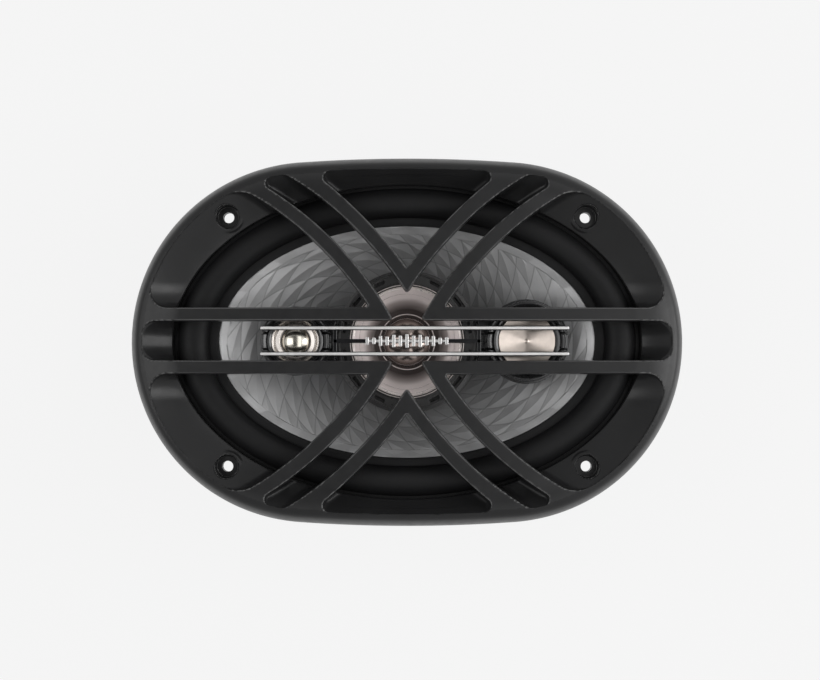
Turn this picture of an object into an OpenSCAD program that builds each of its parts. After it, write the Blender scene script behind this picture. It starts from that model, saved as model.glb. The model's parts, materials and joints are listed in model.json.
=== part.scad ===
// Oval 6x9 inch coaxial car speaker with four drivers under a ribbed grille.
// Millimetres, +Z out of the front, X along the long side. The origin is the centre of the mounting
// plane, which is the back face of the basket's flange.

/* [Grille] */
// Length of the grille at its foot
grille_l = 245; // [243:1:247]
// Width of the grille at its foot
grille_w = 164; // [163:1:166]
// Height of the flat bars above the mounting plane
bar_top = 20; // [19.5:0.5:22]
// Underside of the bars
bar_bottom = 14.5; // [13.5:0.5:15]

/* [Mounting] */
// Distance between the screw holes along X
screw_pitch_x = 158.75; // [158:0.25:159]
// Distance between the screw holes along Y
screw_pitch_y = 110.5; // [110:0.25:111]
// Radius of the screw holes
screw_r = 2.4; // [2.2:0.1:2.6]

/* [Woofer] */
// Half length of the visible cone
cone_a = 83.7; // [82:0.5:84]
// Half width of the visible cone
cone_b = 51.6; // [50:0.5:52]
// Depth of the cone, from its lip to its neck
cone_depth = 30.2; // [29:0.5:31]
// Outer radius of the voice coil former
former_r = 15.6; // [15:0.2:16]
// Radius of the ferrite magnet
magnet_r = 45; // [43:1:46]

/* [Bridge] */
// Place of the tweeter along X
tweeter_x = 52.8; // [52:0.2:53]
// Place of the super tweeter along X
super_x = -49.2; // [-50:0.2:-49]
// Distance of each chrome strip from the centre line
strip_y = 5.7; // [5.3:0.1:6]

/* [Hidden] */
$fn = 64;

// Sides of a lofted oval
loft_n = 72;
rim_n = 96;

// Grille: half sizes at the foot, and the radius of the oval's end arcs there
grille_a = grille_l / 2;
grille_b = grille_w / 2;
grille_end_r = grille_b - 1.5;
skirt_t = 2.2;
aperture_a = 103.8;
aperture_b = 69.6;
aperture_z = 5.5;
crest_inset = 6.2;
crest_z = 16;
// Horizontal bars: inner and outer edge of the upper one, as distances from the centre line
bar_in = 9.05;
bar_out = 14.5;
// Curved bars: centre and radius of each edge, for the bar nearer the end and the one nearer the middle
outer_bar_in = [142.33, -65.73, 155.39];
outer_bar_out = [149.45, -72.25, 158.90];
inner_bar_out = [142.62, -70.53, 169.38];
inner_bar_in = [157.95, -81.73, 194.26];
// A straight edge is an arc of this radius
straight = 20000;
boss_r = 6.6;
boss_z = 3.9;
boss_top = 7.3;
boss_foot_r = 4.6;
counterbore_r = 5.05;
counterbore_z = 5;

// Basket
flange_t = 1.5;
flange_inset = 3.2;
flange_hole_a = 103.2;
flange_hole_b = 69.8;
shelf_z = -36;
shelf_r = 54.8;
cup_r = 47.5;
plate_z = -44;
arm_w = 13;

// Surround
roll_in_a = cone_a + 4.2;
roll_in_b = cone_b + 3.6;
roll_out_a = 102;
roll_out_b = 68.6;
lip_a = 106.8;
lip_b = 72.6;
roll_h = 6.8;
rubber_t = 0.7;

// Woofer cone and its motor
cone_t = 0.8;
cone_lip_z = 2.6;
neck_r = former_r + 0.8;
neck_z = cone_lip_z - 0.4 - cone_depth;
cone_curve = 0.8;
former_t = 0.4;
pole_r = 14.8;
gap_r = 16.9;
plate_r = 42;
top_plate_t = 6;
magnet_t = 18;
yoke_t = 6;
top_plate_z = plate_z - flange_t - top_plate_t;
magnet_z = top_plate_z - magnet_t;
yoke_z = magnet_z - yoke_t;
boot_t = 2;
rivet_x = 12.4;
boot_z = yoke_z - boot_t;
post_r = 5;
post_bore_r = 3;
nut_af = 14;
nut_t = 3.2;
nut_recess_r = 9;
nut_recess_t = 3.7;

// Bridge
arm_z = 2.5;
arm_top = 6.5;
arm_half_w = 14.5;
super_housing_r = 15.2;
super_cavity_r = 12.4;
tweeter_base_r = 18.8;
tweeter_housing_r = 17.6;
tweeter_cavity_r = 14.8;
housing_z = 4;
housing_top = 12.6;
floor_z = 5.5;
mid_ring_r = 31.8;
seat_z = 3;
cup_floor_z = -14;
rib_z = 12.65;
rib_top = 14.8;
rib_w = 2;
strip_w = 1.3;
strip_t = 0.8;
strip_x0 = -64.2;
strip_x1 = 71;
spine_x = 32.5;

screw_places = [for (sx = [-1, 1], sy = [-1, 1]) [sx * screw_pitch_x / 2, sy * screw_pitch_y / 2]];

// ---- Ovals -------------------------------------------------------------------------------

// The end arcs of an oval of half sizes a and b have radius r, and the long arcs follow from them.
function long_r(a, b, r) = ((a - r) ^ 2 + b ^ 2 - r ^ 2) / (2 * (b - r));
// First-quadrant direction at which the end arc gives way to the long arc
function turn_angle(a, b, r) =
    let (t = atan2(long_r(a, b, r) - b, a - r)) atan2(r * sin(t), a - r + r * cos(t));
function oval_radius(a, b, r, angle) =
    let (c = abs(cos(angle)), s = abs(sin(angle)), big = long_r(a, b, r))
    atan2(s, c) < turn_angle(a, b, r)
        ? (a - r) * c + sqrt(r ^ 2 - ((a - r) * s) ^ 2)
        : -(big - b) * s + sqrt(big ^ 2 - ((big - b) * c) ^ 2);
function ellipse_radius(a, b, angle) = a * b / norm([b * cos(angle), a * sin(angle)]);
// The directions of a loft's sides are spread as on the cone's own ellipse.
function side_angle(i, n) = atan2(cone_b * sin(360 * i / n), cone_a * cos(360 * i / n));

function ring(radii, z) =
    let (n = len(radii))
    [for (i = [0:n - 1]) let (t = side_angle(i, n)) [radii[i] * cos(t), radii[i] * sin(t), z]];
function ellipse_radii(a, b, n = loft_n) = [for (i = [0:n - 1]) ellipse_radius(a, b, side_angle(i, n))];
function grille_radii(inset, n = rim_n) =
    [for (i = [0:n - 1])
        oval_radius(grille_a - inset, grille_b - inset, grille_end_r - inset, side_angle(i, n))];
function mixed(p, q, share) = [for (i = [0:len(p) - 1]) p[i] * (1 - share) + q[i] * share];
function flat(points) = [for (p = points) [p[0], p[1]]];

// A closed tube of rings around Z; the rings run from the outer foot over the top and back inside.
module ring_loft(rings) {
    m = len(rings);
    n = len(rings[0]);
    polyhedron(
        points = [for (r = rings) each r],
        faces = [for (j = [0:m - 1], i = [0:n - 1])
            let (a = j * n + i, b = j * n + (i + 1) % n, c = (j + 1) % m * n + (i + 1) % n,
                d = (j + 1) % m * n + i)
            each [[a, c, b], [a, d, c]]]);
}

// A solid stack of rings, closed by flat ends; the rings run upwards.
module stack_loft(rings) {
    m = len(rings);
    n = len(rings[0]);
    polyhedron(
        points = [for (r = rings) each r],
        faces = [
            [for (i = [0:n - 1]) i],
            [for (i = [n - 1:-1:0]) (m - 1) * n + i],
            for (j = [0:m - 2], i = [0:n - 1])
                let (a = j * n + i, b = j * n + (i + 1) % n, c = (j + 1) * n + (i + 1) % n,
                    d = (j + 1) * n + i)
                each [[a, c, b], [a, d, c]]]);
}

// ---- Outlines made of arcs ----------------------------------------------------------------

// An edge is [x, y, radius, side]: side 1 keeps the hole inside that circle, and -1 outside it.
function edge(arc, side, sx = 1, sy = 1) = [arc[0] * sx, arc[1] * sy, arc[2], side];

// Where a circle of signed radius f touches two edges from inside the hole, nearest to the hint
function fillet_centre(p, q, f, hint) =
    let (r1 = p[2] - p[3] * f, r2 = q[2] - q[3] * f, d = [q[0] - p[0], q[1] - p[1]], l = norm(d),
        x = (r1 ^ 2 - r2 ^ 2 + l ^ 2) / (2 * l), h = sqrt(max(0, r1 ^ 2 - x ^ 2)), u = d / l,
        foot = [p[0], p[1]] + u * x, n = [-u[1], u[0]] * h)
    norm(foot + n - hint) < norm(foot - n - hint) ? foot + n : foot - n;
function touch(e, c) =
    let (v = c - [e[0], e[1]]) [e[0], e[1]] + v / norm(v) * e[2];
// Points from p to q about a centre, the short way round, without q
function short_arc(c, r, p, q, step) =
    let (a0 = atan2(p[1] - c[1], p[0] - c[0]), turn = atan2(q[1] - c[1], q[0] - c[0]) - a0,
        t = turn > 180 ? turn - 360 : turn < -180 ? turn + 360 : turn,
        k = max(1, ceil(abs(t) * PI * abs(r) / 180 / step)))
    [for (i = [0:k - 1]) c + abs(r) * [cos(a0 + t * i / k), sin(a0 + t * i / k)]];
// corners: [first edge, second edge, fillet radius, hint], in order round the hole
function hole_outline(corners, step = 5) =
    let (n = len(corners), f = [for (k = corners) fillet_centre(k[0], k[1], k[2], k[3])])
    [for (i = [0:n - 1])
        let (k = corners[i], j = (i + 1) % n, e = k[1], t0 = touch(k[0], f[i]), t1 = touch(e, f[i]),
            t2 = touch(e, f[j]))
        each concat(short_arc(f[i], k[2], t0, t1, max(0.4, abs(k[2]) / 3)),
            e[2] == straight ? [t1] : short_arc([e[0], e[1]], e[2], t1, t2, step))];

// Edges of the grille's holes
pocket_end_r = grille_end_r - crest_inset;
pocket_end = [grille_a - grille_end_r, 0, pocket_end_r];
pocket_long_r = long_r(grille_a, grille_b, grille_end_r) - crest_inset;
pocket_long = [0, grille_b - crest_inset - pocket_long_r, pocket_long_r];
end_fillet = 6;
corner_fillet = 8;
shoulder_fillet = 13;
slot_fillets = [3, 7];
top_fillet = 3.2;
notch_fillet = 0.8;
tip_fillet = 1;

// The large hole: both end openings, the four slots and the middle
function quarter_corners(sx, sy) =
    let (end = edge(pocket_end, 1, sx, sy), bar = edge([0, bar_in - straight, straight], 1, sx, sy),
        low = edge(outer_bar_in, -1, sx, sy), high = edge(inner_bar_out, 1, sx, sy),
        over = edge(inner_bar_out, 1, -sx, sy), m = [sx, sy])
    [[end, bar, end_fillet, [112 * sx, 5 * sy]],
        [bar, low, -tip_fillet, [7 * sx, 9 * sy]],
        [low, end, slot_fillets[0], [63 * sx, 69 * sy]],
        [end, high, slot_fillets[1], [50 * sx, 68 * sy]],
        [high, over, -tip_fillet, [0, 22 * sy]]];
function turned(corners) = [for (i = [len(corners) - 1:-1:0])
    let (k = corners[i]) [k[1], k[0], k[2], k[3]]];
// The last corner of a quarter, on the Y axis, is shared with the next quarter.
function half_corners(sy) =
    let (other = turned(quarter_corners(-1, sy))) concat(quarter_corners(1, sy), [for (i = [1:4]) other[i]]);
middle_hole = concat(half_corners(1), turned(half_corners(-1)));

function corner_hole(sx, sy) =
    let (bar = edge([0, bar_out - straight, straight], -1, sx, sy), end = edge(pocket_end, 1, sx, sy),
        side = edge(outer_bar_out, 1, sx, sy))
    [[bar, end, corner_fillet, [108 * sx, 20 * sy]],
        [end, side, shoulder_fillet, [72 * sx, 58 * sy]],
        [side, bar, notch_fillet, [17 * sx, 15 * sy]]];
function top_hole(sy) =
    let (top = edge(pocket_long, 1, 1, sy), right = edge(inner_bar_in, -1, 1, sy),
        left = edge(inner_bar_in, -1, -1, sy))
    [[top, right, top_fillet, [38 * 1, 72 * sy]], [right, left, notch_fillet, [0, 32 * sy]],
        [left, top, top_fillet, [-38, 72 * sy]]];

module grille_holes() {
    polygon(hole_outline(middle_hole));
    for (sx = [-1, 1], sy = [-1, 1]) polygon(hole_outline(corner_hole(sx, sy)));
    for (sy = [-1, 1]) polygon(hole_outline(top_hole(sy)));
}

// ---- Grille -------------------------------------------------------------------------------

module grille_rim() {
    foot = grille_radii(crest_inset + 1.2);
    throat = ellipse_radii(aperture_a, aperture_b, rim_n);
    under = ellipse_radii(aperture_a + 2.4, aperture_b + 2.4, rim_n);
    ring_loft([
        ring(grille_radii(0), 0),
        ring(grille_radii(1), 11),
        ring(grille_radii(1.8), 13.2),
        ring(grille_radii(3.2), 14.8),
        ring(grille_radii(crest_inset), crest_z),
        ring(foot, crest_z - 0.6),
        ring(mixed(foot, throat, 0.25), 11.4),
        ring(mixed(foot, throat, 0.5), 8.6),
        ring(mixed(foot, throat, 0.75), 6.6),
        ring(throat, aperture_z),
        ring(throat, 3.7),
        ring(under, 3.7),
        ring(mixed(foot, under, 0.5), 6.2),
        ring(foot, 12.2),
        ring(grille_radii(3.4), 12),
        ring(grille_radii(skirt_t), 0)]);
}

module grille_dome() {
    stack_loft([
        ring(grille_radii(1), 4),
        ring(grille_radii(1.2), 11),
        ring(grille_radii(2), 13.1),
        ring(grille_radii(3.4), 14.7),
        ring(grille_radii(9), bar_top - 2.6),
        ring(grille_radii(15), bar_top - 0.7),
        ring(grille_radii(22), bar_top)]);
}

module grille_pattern(low) {
    difference() {
        polygon(flat(ring(grille_radii(1.5), 0)));
        grille_holes();
        if (low) polygon(flat(ring(ellipse_radii(aperture_a + 0.6, aperture_b + 0.6), 0)));
    }
}

module grille() {
    color([0.10, 0.10, 0.11])
    difference() {
        union() {
            grille_rim();
            intersection() {
                grille_dome();
                union() {
                    translate([0, 0, bar_bottom]) linear_extrude(20) grille_pattern(false);
                    translate([0, 0, 6.5]) linear_extrude(20) grille_pattern(true);
                }
            }
            for (p = screw_places) translate([p[0], p[1], 0]) {
                translate([0, 0, boss_z]) cylinder(r = boss_r, h = boss_top - boss_z);
                translate([0, 0, flange_t + 0.1]) cylinder(r = boss_foot_r, h = 4);
            }
        }
        for (p = screw_places) translate([p[0], p[1], 0]) {
            cylinder(r = screw_r, h = 30);
            translate([0, 0, counterbore_z]) cylinder(r = counterbore_r, h = 30);
        }
    }
}

// ---- Basket and gasket --------------------------------------------------------------------

module basket_windows() {
    difference() {
        polygon(flat(ring(ellipse_radii(99.5, 65.5), 0)));
        circle(r = shelf_r + 2.6);
        for (a = [35, 90, 145]) rotate(a) square([260, arm_w], center = true);
    }
}

module basket() {
    color([0.16, 0.16, 0.17])
    difference() {
        union() {
            linear_extrude(flange_t) difference() {
                polygon(flat(ring(grille_radii(flange_inset), 0)));
                polygon(flat(ring(ellipse_radii(flange_hole_a, flange_hole_b), 0)));
            }
            ring_loft([
                ring(ellipse_radii(53.2, 53.2), shelf_z - 1.1),
                ring(ellipse_radii(54.4, 54.4), shelf_z - 1.1),
                ring(ellipse_radii(101.5, 68.1), -13.5),
                ring(ellipse_radii(103.8, 70.4), -10.5),
                ring(ellipse_radii(104.8, 71.4), flange_t / 2),
                ring(ellipse_radii(flange_hole_a, flange_hole_b), flange_t / 2),
                ring(ellipse_radii(102.3, 68.9), -10.5),
                ring(ellipse_radii(100.6, 67.2), -12.4),
                ring(ellipse_radii(53.2, 53.2), shelf_z - 0.2)]);
            rotate_extrude() polygon([
                [22, plate_z - flange_t], [cup_r, plate_z - flange_t], [cup_r, shelf_z - flange_t],
                [shelf_r, shelf_z - flange_t], [shelf_r, shelf_z], [cup_r - flange_t, shelf_z],
                [cup_r - flange_t, plate_z], [22, plate_z]]);
            translate([-14.5, -71.5, shelf_z - flange_t]) cube([29, 18.5, flange_t]);
        }
        for (p = screw_places) translate([p[0], p[1], -1]) cylinder(r = screw_r, h = 4);
        translate([0, 0, -33]) linear_extrude(19) basket_windows();
        // Vents in the lower cup
        for (a = [15:30:345]) rotate(a) translate([40, 0, -40]) rotate([0, 90, 0])
            cylinder(r = 2.6, h = 12);
        // Seats of the plate screws, and the way for the tinsel leads and the board's rivets
        for (a = [45:90:315]) rotate(a) translate([33, 0, -50]) cylinder(r = 2.1, h = 8);
        for (x = [-7.5, 7.5]) translate([x, -61.5, -40]) cylinder(r = 2.8, h = 6);
        for (x = [-rivet_x, rivet_x]) translate([x, -67.5, -40]) cylinder(r = 1.05, h = 6);
    }
}

module frame_gasket() {
    color([0.05, 0.05, 0.05])
    translate([0, 0, flange_t + rubber_t]) linear_extrude(1.2) difference() {
        polygon(flat(ring(ellipse_radii(lip_a, lip_b), 0)));
        polygon(flat(ring(ellipse_radii(roll_out_a + 1.4, roll_out_b + 1.4), 0)));
    }
}

// ---- Woofer -------------------------------------------------------------------------------

function roll_ring(t, h, extra) =
    let (s = (1 - cos(t)) / 2)
    ring(ellipse_radii(roll_out_a * (1 - s) + roll_in_a * s - extra * cos(t + 180),
        roll_out_b * (1 - s) + roll_in_b * s - extra * cos(t + 180)),
        flange_t + rubber_t + (cone_lip_z + rubber_t - flange_t - rubber_t) * s + h * sin(t));

module surround() {
    color([0.08, 0.08, 0.08])
    ring_loft(concat(
        [ring(ellipse_radii(lip_a, lip_b), flange_t), ring(ellipse_radii(lip_a, lip_b), flange_t + rubber_t)],
        [for (t = [0:15:180]) roll_ring(t, roll_h, 0)],
        [for (z = [cone_lip_z + rubber_t, cone_lip_z]) ring(ellipse_radii(cone_a, cone_b), z)],
        [for (t = [180:-15:0]) let (r = roll_ring(t, roll_h - rubber_t, -rubber_t))
            [for (p = r) [p[0], p[1], p[2] - (t == 0 || t == 180 ? rubber_t : 0.3)]]]));
}

function cone_ring(u, drop) =
    ring(ellipse_radii(neck_r + (cone_a - neck_r) * u, neck_r + (cone_b - neck_r) * u),
        neck_z + cone_depth * u ^ cone_curve - drop);

module woofer_cone() {
    color([0.62, 0.62, 0.63])
    ring_loft(concat(
        [ring(ellipse_radii(roll_in_a - 0.3, roll_in_b - 0.3), cone_lip_z - cone_t),
            ring(ellipse_radii(roll_in_a - 0.3, roll_in_b - 0.3), cone_lip_z),
            ring(ellipse_radii(cone_a + 0.4, cone_b + 0.4), cone_lip_z)],
        [for (u = [1:-0.125:0]) cone_ring(u, 0)],
        [ring(ellipse_radii(former_r + 0.06, former_r + 0.06), neck_z),
            ring(ellipse_radii(former_r + 0.06, former_r + 0.06), neck_z - 2.2),
            ring(ellipse_radii(neck_r, neck_r), neck_z - 2.2)],
        [for (u = [0.02, 0.125, 0.25, 0.375, 0.5, 0.625, 0.75, 0.875, 1]) cone_ring(u, cone_t * 1.25)]));
}

module dust_collar() {
    color([0.12, 0.12, 0.12])
    rotate_extrude() polygon([[6.4, -24.9], [6.4, -25.5], [11, -24.2], [former_r - former_t - 0.05, -26.4],
        [former_r - former_t - 0.05, -25.6], [11, -23.4]]);
}

module tube(outer, inner, z, h) {
    translate([0, 0, z]) difference() {
        cylinder(r = outer, h = h);
        translate([0, 0, -1]) cylinder(r = inner, h = h + 2);
    }
}

module voice_coil_former() {
    color([0.55, 0.38, 0.16]) tube(former_r, former_r - former_t, -56, 30);
}

module voice_coil_winding() {
    color([0.72, 0.35, 0.12]) tube(former_r + 0.6, former_r + 0.02, -54, 11);
}

// Corrugated disc: half waves between the collar and the flat lip on the basket's shelf
function spider_z(r) = shelf_z + 1.5 + 1.2 * sin((r - 18.5) * 360 / 9.6);
module spider() {
    top = [for (r = [18.5:1.2:47]) [r, spider_z(r)]];
    color([0.78, 0.55, 0.16])
    rotate_extrude() polygon(concat(
        [[former_r + 0.03, shelf_z - 0.6], [former_r + 0.7, shelf_z - 0.6], [former_r + 0.7, shelf_z + 0.9]],
        [for (p = top) [p[0], p[1] - 0.6]],
        [[48, shelf_z], [53, shelf_z], [53, shelf_z + 0.6], [48, shelf_z + 0.6]],
        [for (i = [len(top) - 1:-1:0]) top[i]],
        [[former_r + 0.7, shelf_z + 1.5], [former_r + 0.7, shelf_z + 2.6],
            [former_r + 0.03, shelf_z + 2.6]]));
}

module top_plate() {
    color([0.60, 0.60, 0.62]) difference() {
        tube(plate_r, gap_r, top_plate_z, top_plate_t);
        for (a = [45:90:315]) rotate(a) translate([33, 0, top_plate_z + 1]) cylinder(r = 1.7, h = 8);
    }
}

module plate_screws() {
    color([0.75, 0.75, 0.76])
    for (a = [45:90:315]) rotate(a) translate([33, 0, 0]) difference() {
        union() {
            translate([0, 0, plate_z + 0.02]) cylinder(r = 3.3, h = 1.8);
            translate([0, 0, top_plate_z + 1.5]) cylinder(r = 1.65, h = plate_z - top_plate_z - 1.4);
        }
        for (b = [0, 90]) translate([0, 0, plate_z + 1.5]) rotate(b) cube([3.6, 0.7, 1.2], center = true);
    }
}

module magnet() {
    color([0.22, 0.22, 0.23]) tube(magnet_r, 24, magnet_z, magnet_t);
}

module pole_yoke() {
    color([0.58, 0.58, 0.60])
    difference() {
        union() {
            translate([0, 0, yoke_z]) cylinder(r = plate_r, h = yoke_t);
            translate([0, 0, yoke_z]) cylinder(r = pole_r, h = plate_z - 0.8 - yoke_z);
        }
        translate([0, 0, yoke_z - 1]) cylinder(r = post_r + 0.05, h = 60);
        translate([0, 0, yoke_z - 1]) cylinder(r = nut_recess_r, h = nut_recess_t + 1);
    }
}

module magnet_boot() {
    color([0.07, 0.07, 0.07])
    difference() {
        translate([0, 0, boot_z]) cylinder(r = magnet_r, h = boot_t + yoke_t);
        translate([0, 0, yoke_z]) cylinder(r = plate_r + 0.4, h = 20);
        translate([-2.4, -60, boot_z - 1]) cube([4.8, 61.2, 20]);
        for (r = [14, 26]) translate([0, 0, boot_z - 1]) difference() {
            cylinder(r = r + 2, h = 1.5);
            translate([0, 0, -1]) cylinder(r = r, h = 4);
        }
    }
}

module bridge_post() {
    color([0.66, 0.66, 0.67])
    difference() {
        union() {
            translate([0, 0, yoke_z + 0.6]) cylinder(r = post_r, h = cup_floor_z - 2 - yoke_z - 0.6);
            translate([0, 0, cup_floor_z - 4]) cylinder(r = 9, h = 2);
        }
        translate([0, 0, yoke_z - 1]) cylinder(r = post_bore_r, h = 80);
    }
}

module post_nut() {
    color([0.75, 0.75, 0.76])
    translate([0, 0, yoke_z + nut_recess_t - nut_t]) difference() {
        cylinder(r = nut_af / 2 / cos(30), h = nut_t, $fn = 6);
        translate([0, 0, -1]) cylinder(r = post_r + 0.02, h = 6);
    }
}

// ---- Bridge -------------------------------------------------------------------------------

module bridge() {
    color([0.07, 0.07, 0.07])
    difference() {
        union() {
            translate([super_x, -arm_half_w, arm_z])
                cube([tweeter_x - super_x, 2 * arm_half_w, arm_top - arm_z]);
            translate([super_x, 0, housing_z]) cylinder(r = super_housing_r, h = housing_top - housing_z);
            translate([super_x, 0, arm_z]) cylinder(r = arm_half_w - 0.5, h = 4);
            translate([tweeter_x, 0, housing_z]) cylinder(r = tweeter_base_r, h = 2.6);
            translate([tweeter_x, 0, housing_z]) cylinder(r = tweeter_housing_r, h = housing_top - housing_z);
            rotate_extrude() polygon([[0, cup_floor_z - 2], [15.6, cup_floor_z - 2], [15.6, -6.8],
                [30.6, 1], [30.6, arm_top], [0, arm_top]]);
        }
        translate([super_x, 0, floor_z]) cylinder(r = super_cavity_r, h = 20);
        translate([super_x, 0, housing_top - 1.2]) cylinder(r1 = super_cavity_r, r2 = 14.2, h = 1.3);
        translate([tweeter_x, 0, floor_z]) cylinder(r = tweeter_cavity_r, h = 20);
        translate([tweeter_x, 0, housing_top - 1]) cylinder(r1 = tweeter_cavity_r, r2 = 16.4, h = 1.1);
        // Bowl, magnet cup and wire hole under the middle driver
        rotate_extrude() polygon([[0, cup_floor_z], [14.1, cup_floor_z], [14.1, -5.4], [29, seat_z],
            [32.4, seat_z], [32.4, arm_top + 1], [0, arm_top + 1]]);
        translate([0, 0, cup_floor_z - 3]) cylinder(r = post_bore_r, h = 4);
        for (x = [super_x, tweeter_x]) translate([x - 8 * sign(x), 4, arm_z - 1]) cylinder(r = 1.5, h = 5);
    }
}

module badge_bar() {
    color([0.08, 0.08, 0.08]) {
        for (s = [-1, 1]) translate([strip_x0 + 0.5, s * strip_y - rib_w / 2, rib_z])
            cube([strip_x1 - strip_x0 - 1, rib_w, rib_top - rib_z]);
        translate([-spine_x, -0.9, rib_z]) cube([2 * spine_x, 1.8, 0.8]);
        for (s = [-1, 1]) {
            translate([s * (spine_x - 0.9) - 0.9, -strip_y, rib_z]) cube([1.8, 2 * strip_y, 0.8]);
            for (y = [-strip_y, strip_y]) translate([s * (spine_x - 0.9), y, arm_top + 0.05])
                cylinder(r = 0.9, h = 6.5);
        }
    }
}

module trim_strip(s) {
    color([0.86, 0.86, 0.87])
    translate([strip_x0, s * strip_y - strip_w / 2, rib_top]) cube([strip_x1 - strip_x0, strip_w, strip_t]);
}
module trim_strip_upper() { trim_strip(1); }
module trim_strip_lower() { trim_strip(-1); }

// A row of level bars, lower towards its ends
badge_n = 6;
badge_pitch = 2.9;
badge_bar_w = 1.5;
function badge_h(i) = 6 - 2.6 * pow(abs(i) / badge_n, 1.5) - (abs(i) % 2 == 1 ? 1.1 : 0);
module badge() {
    color([0.86, 0.86, 0.87])
    translate([0, 0, rib_z + 0.82]) {
        for (i = [-badge_n:badge_n]) translate([i * badge_pitch, 0, 0.6])
            cube([badge_bar_w, badge_h(i), 1.2], center = true);
        translate([0, 0, 0.3]) cube([2 * badge_n * badge_pitch, 1.2, 0.6], center = true);
    }
}

// ---- Middle driver ------------------------------------------------------------------------

module mid_ring() {
    color([0.07, 0.07, 0.07])
    difference() {
        rotate_extrude() polygon([[25.35, seat_z], [mid_ring_r, seat_z], [mid_ring_r, 5.4], [30.4, 7.4],
            [25.35, 7.4]]);
        for (i = [0:13]) rotate(90 + i * 360 / 14) translate([28.2, 0, 7.4])
            cube([1.6, 4.9, 3], center = true);
    }
}

module mid_bezel() {
    color([0.80, 0.76, 0.74])
    rotate_extrude() polygon([[23.2, seat_z], [25.3, seat_z], [25.3, 7.8], [24.9, 8.4], [24.4, 8.5],
        [24.1, 7.9], [23.7, 7.9], [23.2, 7.2]]);
}

module mid_surround() {
    color([0.30, 0.26, 0.24])
    rotate_extrude() polygon([[23.15, 5.4], [23.15, 5.9], [22.7, 6.5], [22.1, 6.7], [21.5, 6.5], [21.2, 5.9],
        [21.2, 5.4], [21.6, 5.4], [22.1, 6.2], [22.6, 5.4]]);
}

mid_cone_front = [for (i = [0:6]) let (t = i / 6) [21.15 - 10.2 * t, 5.6 - 5.2 * sin(90 * t)]];
module mid_cone() {
    color([0.78, 0.70, 0.67])
    rotate_extrude() polygon(concat(mid_cone_front,
        [for (i = [6:-1:0]) mid_cone_front[i] + [0.05, -0.5]]));
}

// A dome of base radius r and height h, of a sphere's surface, t thick
function dome_r(r, h) = (r ^ 2 + h ^ 2) / (2 * h);
module dome(r, h, z, t) {
    big = dome_r(r, h);
    translate([0, 0, z]) intersection() {
        difference() {
            translate([0, 0, h - big]) sphere(r = big);
            translate([0, 0, h - big]) sphere(r = big - t);
        }
        cylinder(r = r + 1, h = h + 1);
    }
}

module mid_dust_cap() {
    color([0.45, 0.38, 0.36]) dome(10.9, 5.2, 0.5, 0.5);
}

module mid_voice_coil() {
    color([0.72, 0.35, 0.12]) tube(10.3, 9.6, -8, 7.8);
}

module disc(r, z, h) {
    translate([0, 0, z]) cylinder(r = r, h = h);
}

module cup(outer, inner, z, h, floor) {
    difference() {
        disc(outer, z, h);
        disc(inner, z + floor, h);
    }
}

module mid_pole_plate() {
    color([0.60, 0.60, 0.62]) disc(9, -6.5, 2.5);
}
module mid_magnet() {
    color([0.70, 0.70, 0.72]) disc(8.6, -11.5, 5);
}
module mid_yoke() {
    color([0.55, 0.55, 0.57]) cup(14, 11.2, cup_floor_z, 10, 2.5);
}

// ---- Tweeter ------------------------------------------------------------------------------

module at_tweeter() { translate([tweeter_x, 0, 0]) children(); }

module tweeter_ring() {
    color([0.06, 0.06, 0.06])
    at_tweeter() rotate_extrude() polygon([[12.75, 9.4], [13.7, 9.4], [13.7, floor_z + 0.05],
        [14.7, floor_z + 0.05], [14.7, 12], [14.3, 12.4], [13.3, 12], [12.75, 11.6]]);
}

// A shallow dish with a small raised point in the middle
module tweeter_diaphragm() {
    color([0.72, 0.64, 0.60])
    at_tweeter() rotate_extrude() polygon([[0, 10], [12.4, 11.1], [12.4, 11.6], [1, 10.55], [0.5, 10.9],
        [0, 11.3]]);
}

module tweeter_voice_coil() {
    color([0.72, 0.35, 0.12]) at_tweeter() tube(8.3, 7.8, 7.4, 3.1);
}
module tweeter_pole_plate() {
    color([0.60, 0.60, 0.62]) at_tweeter() disc(7.4, 8, 1);
}
module tweeter_magnet() {
    color([0.70, 0.70, 0.72]) at_tweeter() disc(7, 6.6, 1.4);
}
module tweeter_yoke() {
    color([0.55, 0.55, 0.57]) at_tweeter() cup(10.8, 8.8, floor_z, 3.4, 1.1);
}

// ---- Super tweeter ------------------------------------------------------------------------

module at_super() { translate([super_x, 0, 0]) children(); }

module super_bezel() {
    color([0.10, 0.10, 0.10])
    at_super() rotate_extrude() polygon([[10.45, 9.2], [11.4, 9.2], [11.4, floor_z + 0.05],
        [12.3, floor_z + 0.05], [12.3, 11.9], [11.9, 12.2], [11.2, 11.8], [10.45, 11.2]]);
}

module super_reflector() {
    color([0.82, 0.80, 0.78])
    at_super() rotate_extrude() polygon([[6.65, 8.95], [7.5, 8.95], [7.5, 9.3], [10.4, 9.3], [10.4, 11.5],
        [9.9, 11.7], [9.4, 11.2],
        [9, 10.6], [8.6, 10.9], [7, 10.3], [6.65, 10]]);
}

module super_dome() {
    color([0.82, 0.80, 0.78]) at_super() dome(6.3, 3.1, 9.5, 0.4);
}
module super_voice_coil() {
    color([0.72, 0.35, 0.12]) at_super() tube(5.7, 5.25, 7.2, 2.3);
}
module super_pole_plate() {
    color([0.60, 0.60, 0.62]) at_super() disc(4.9, 7.9, 1);
}
module super_magnet() {
    color([0.70, 0.70, 0.72]) at_super() disc(4.6, 6.5, 1.4);
}
module super_yoke() {
    color([0.55, 0.55, 0.57]) at_super() cup(7.6, 6.1, floor_z, 3.4, 1);
}

// ---- Electrical parts ---------------------------------------------------------------------

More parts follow.
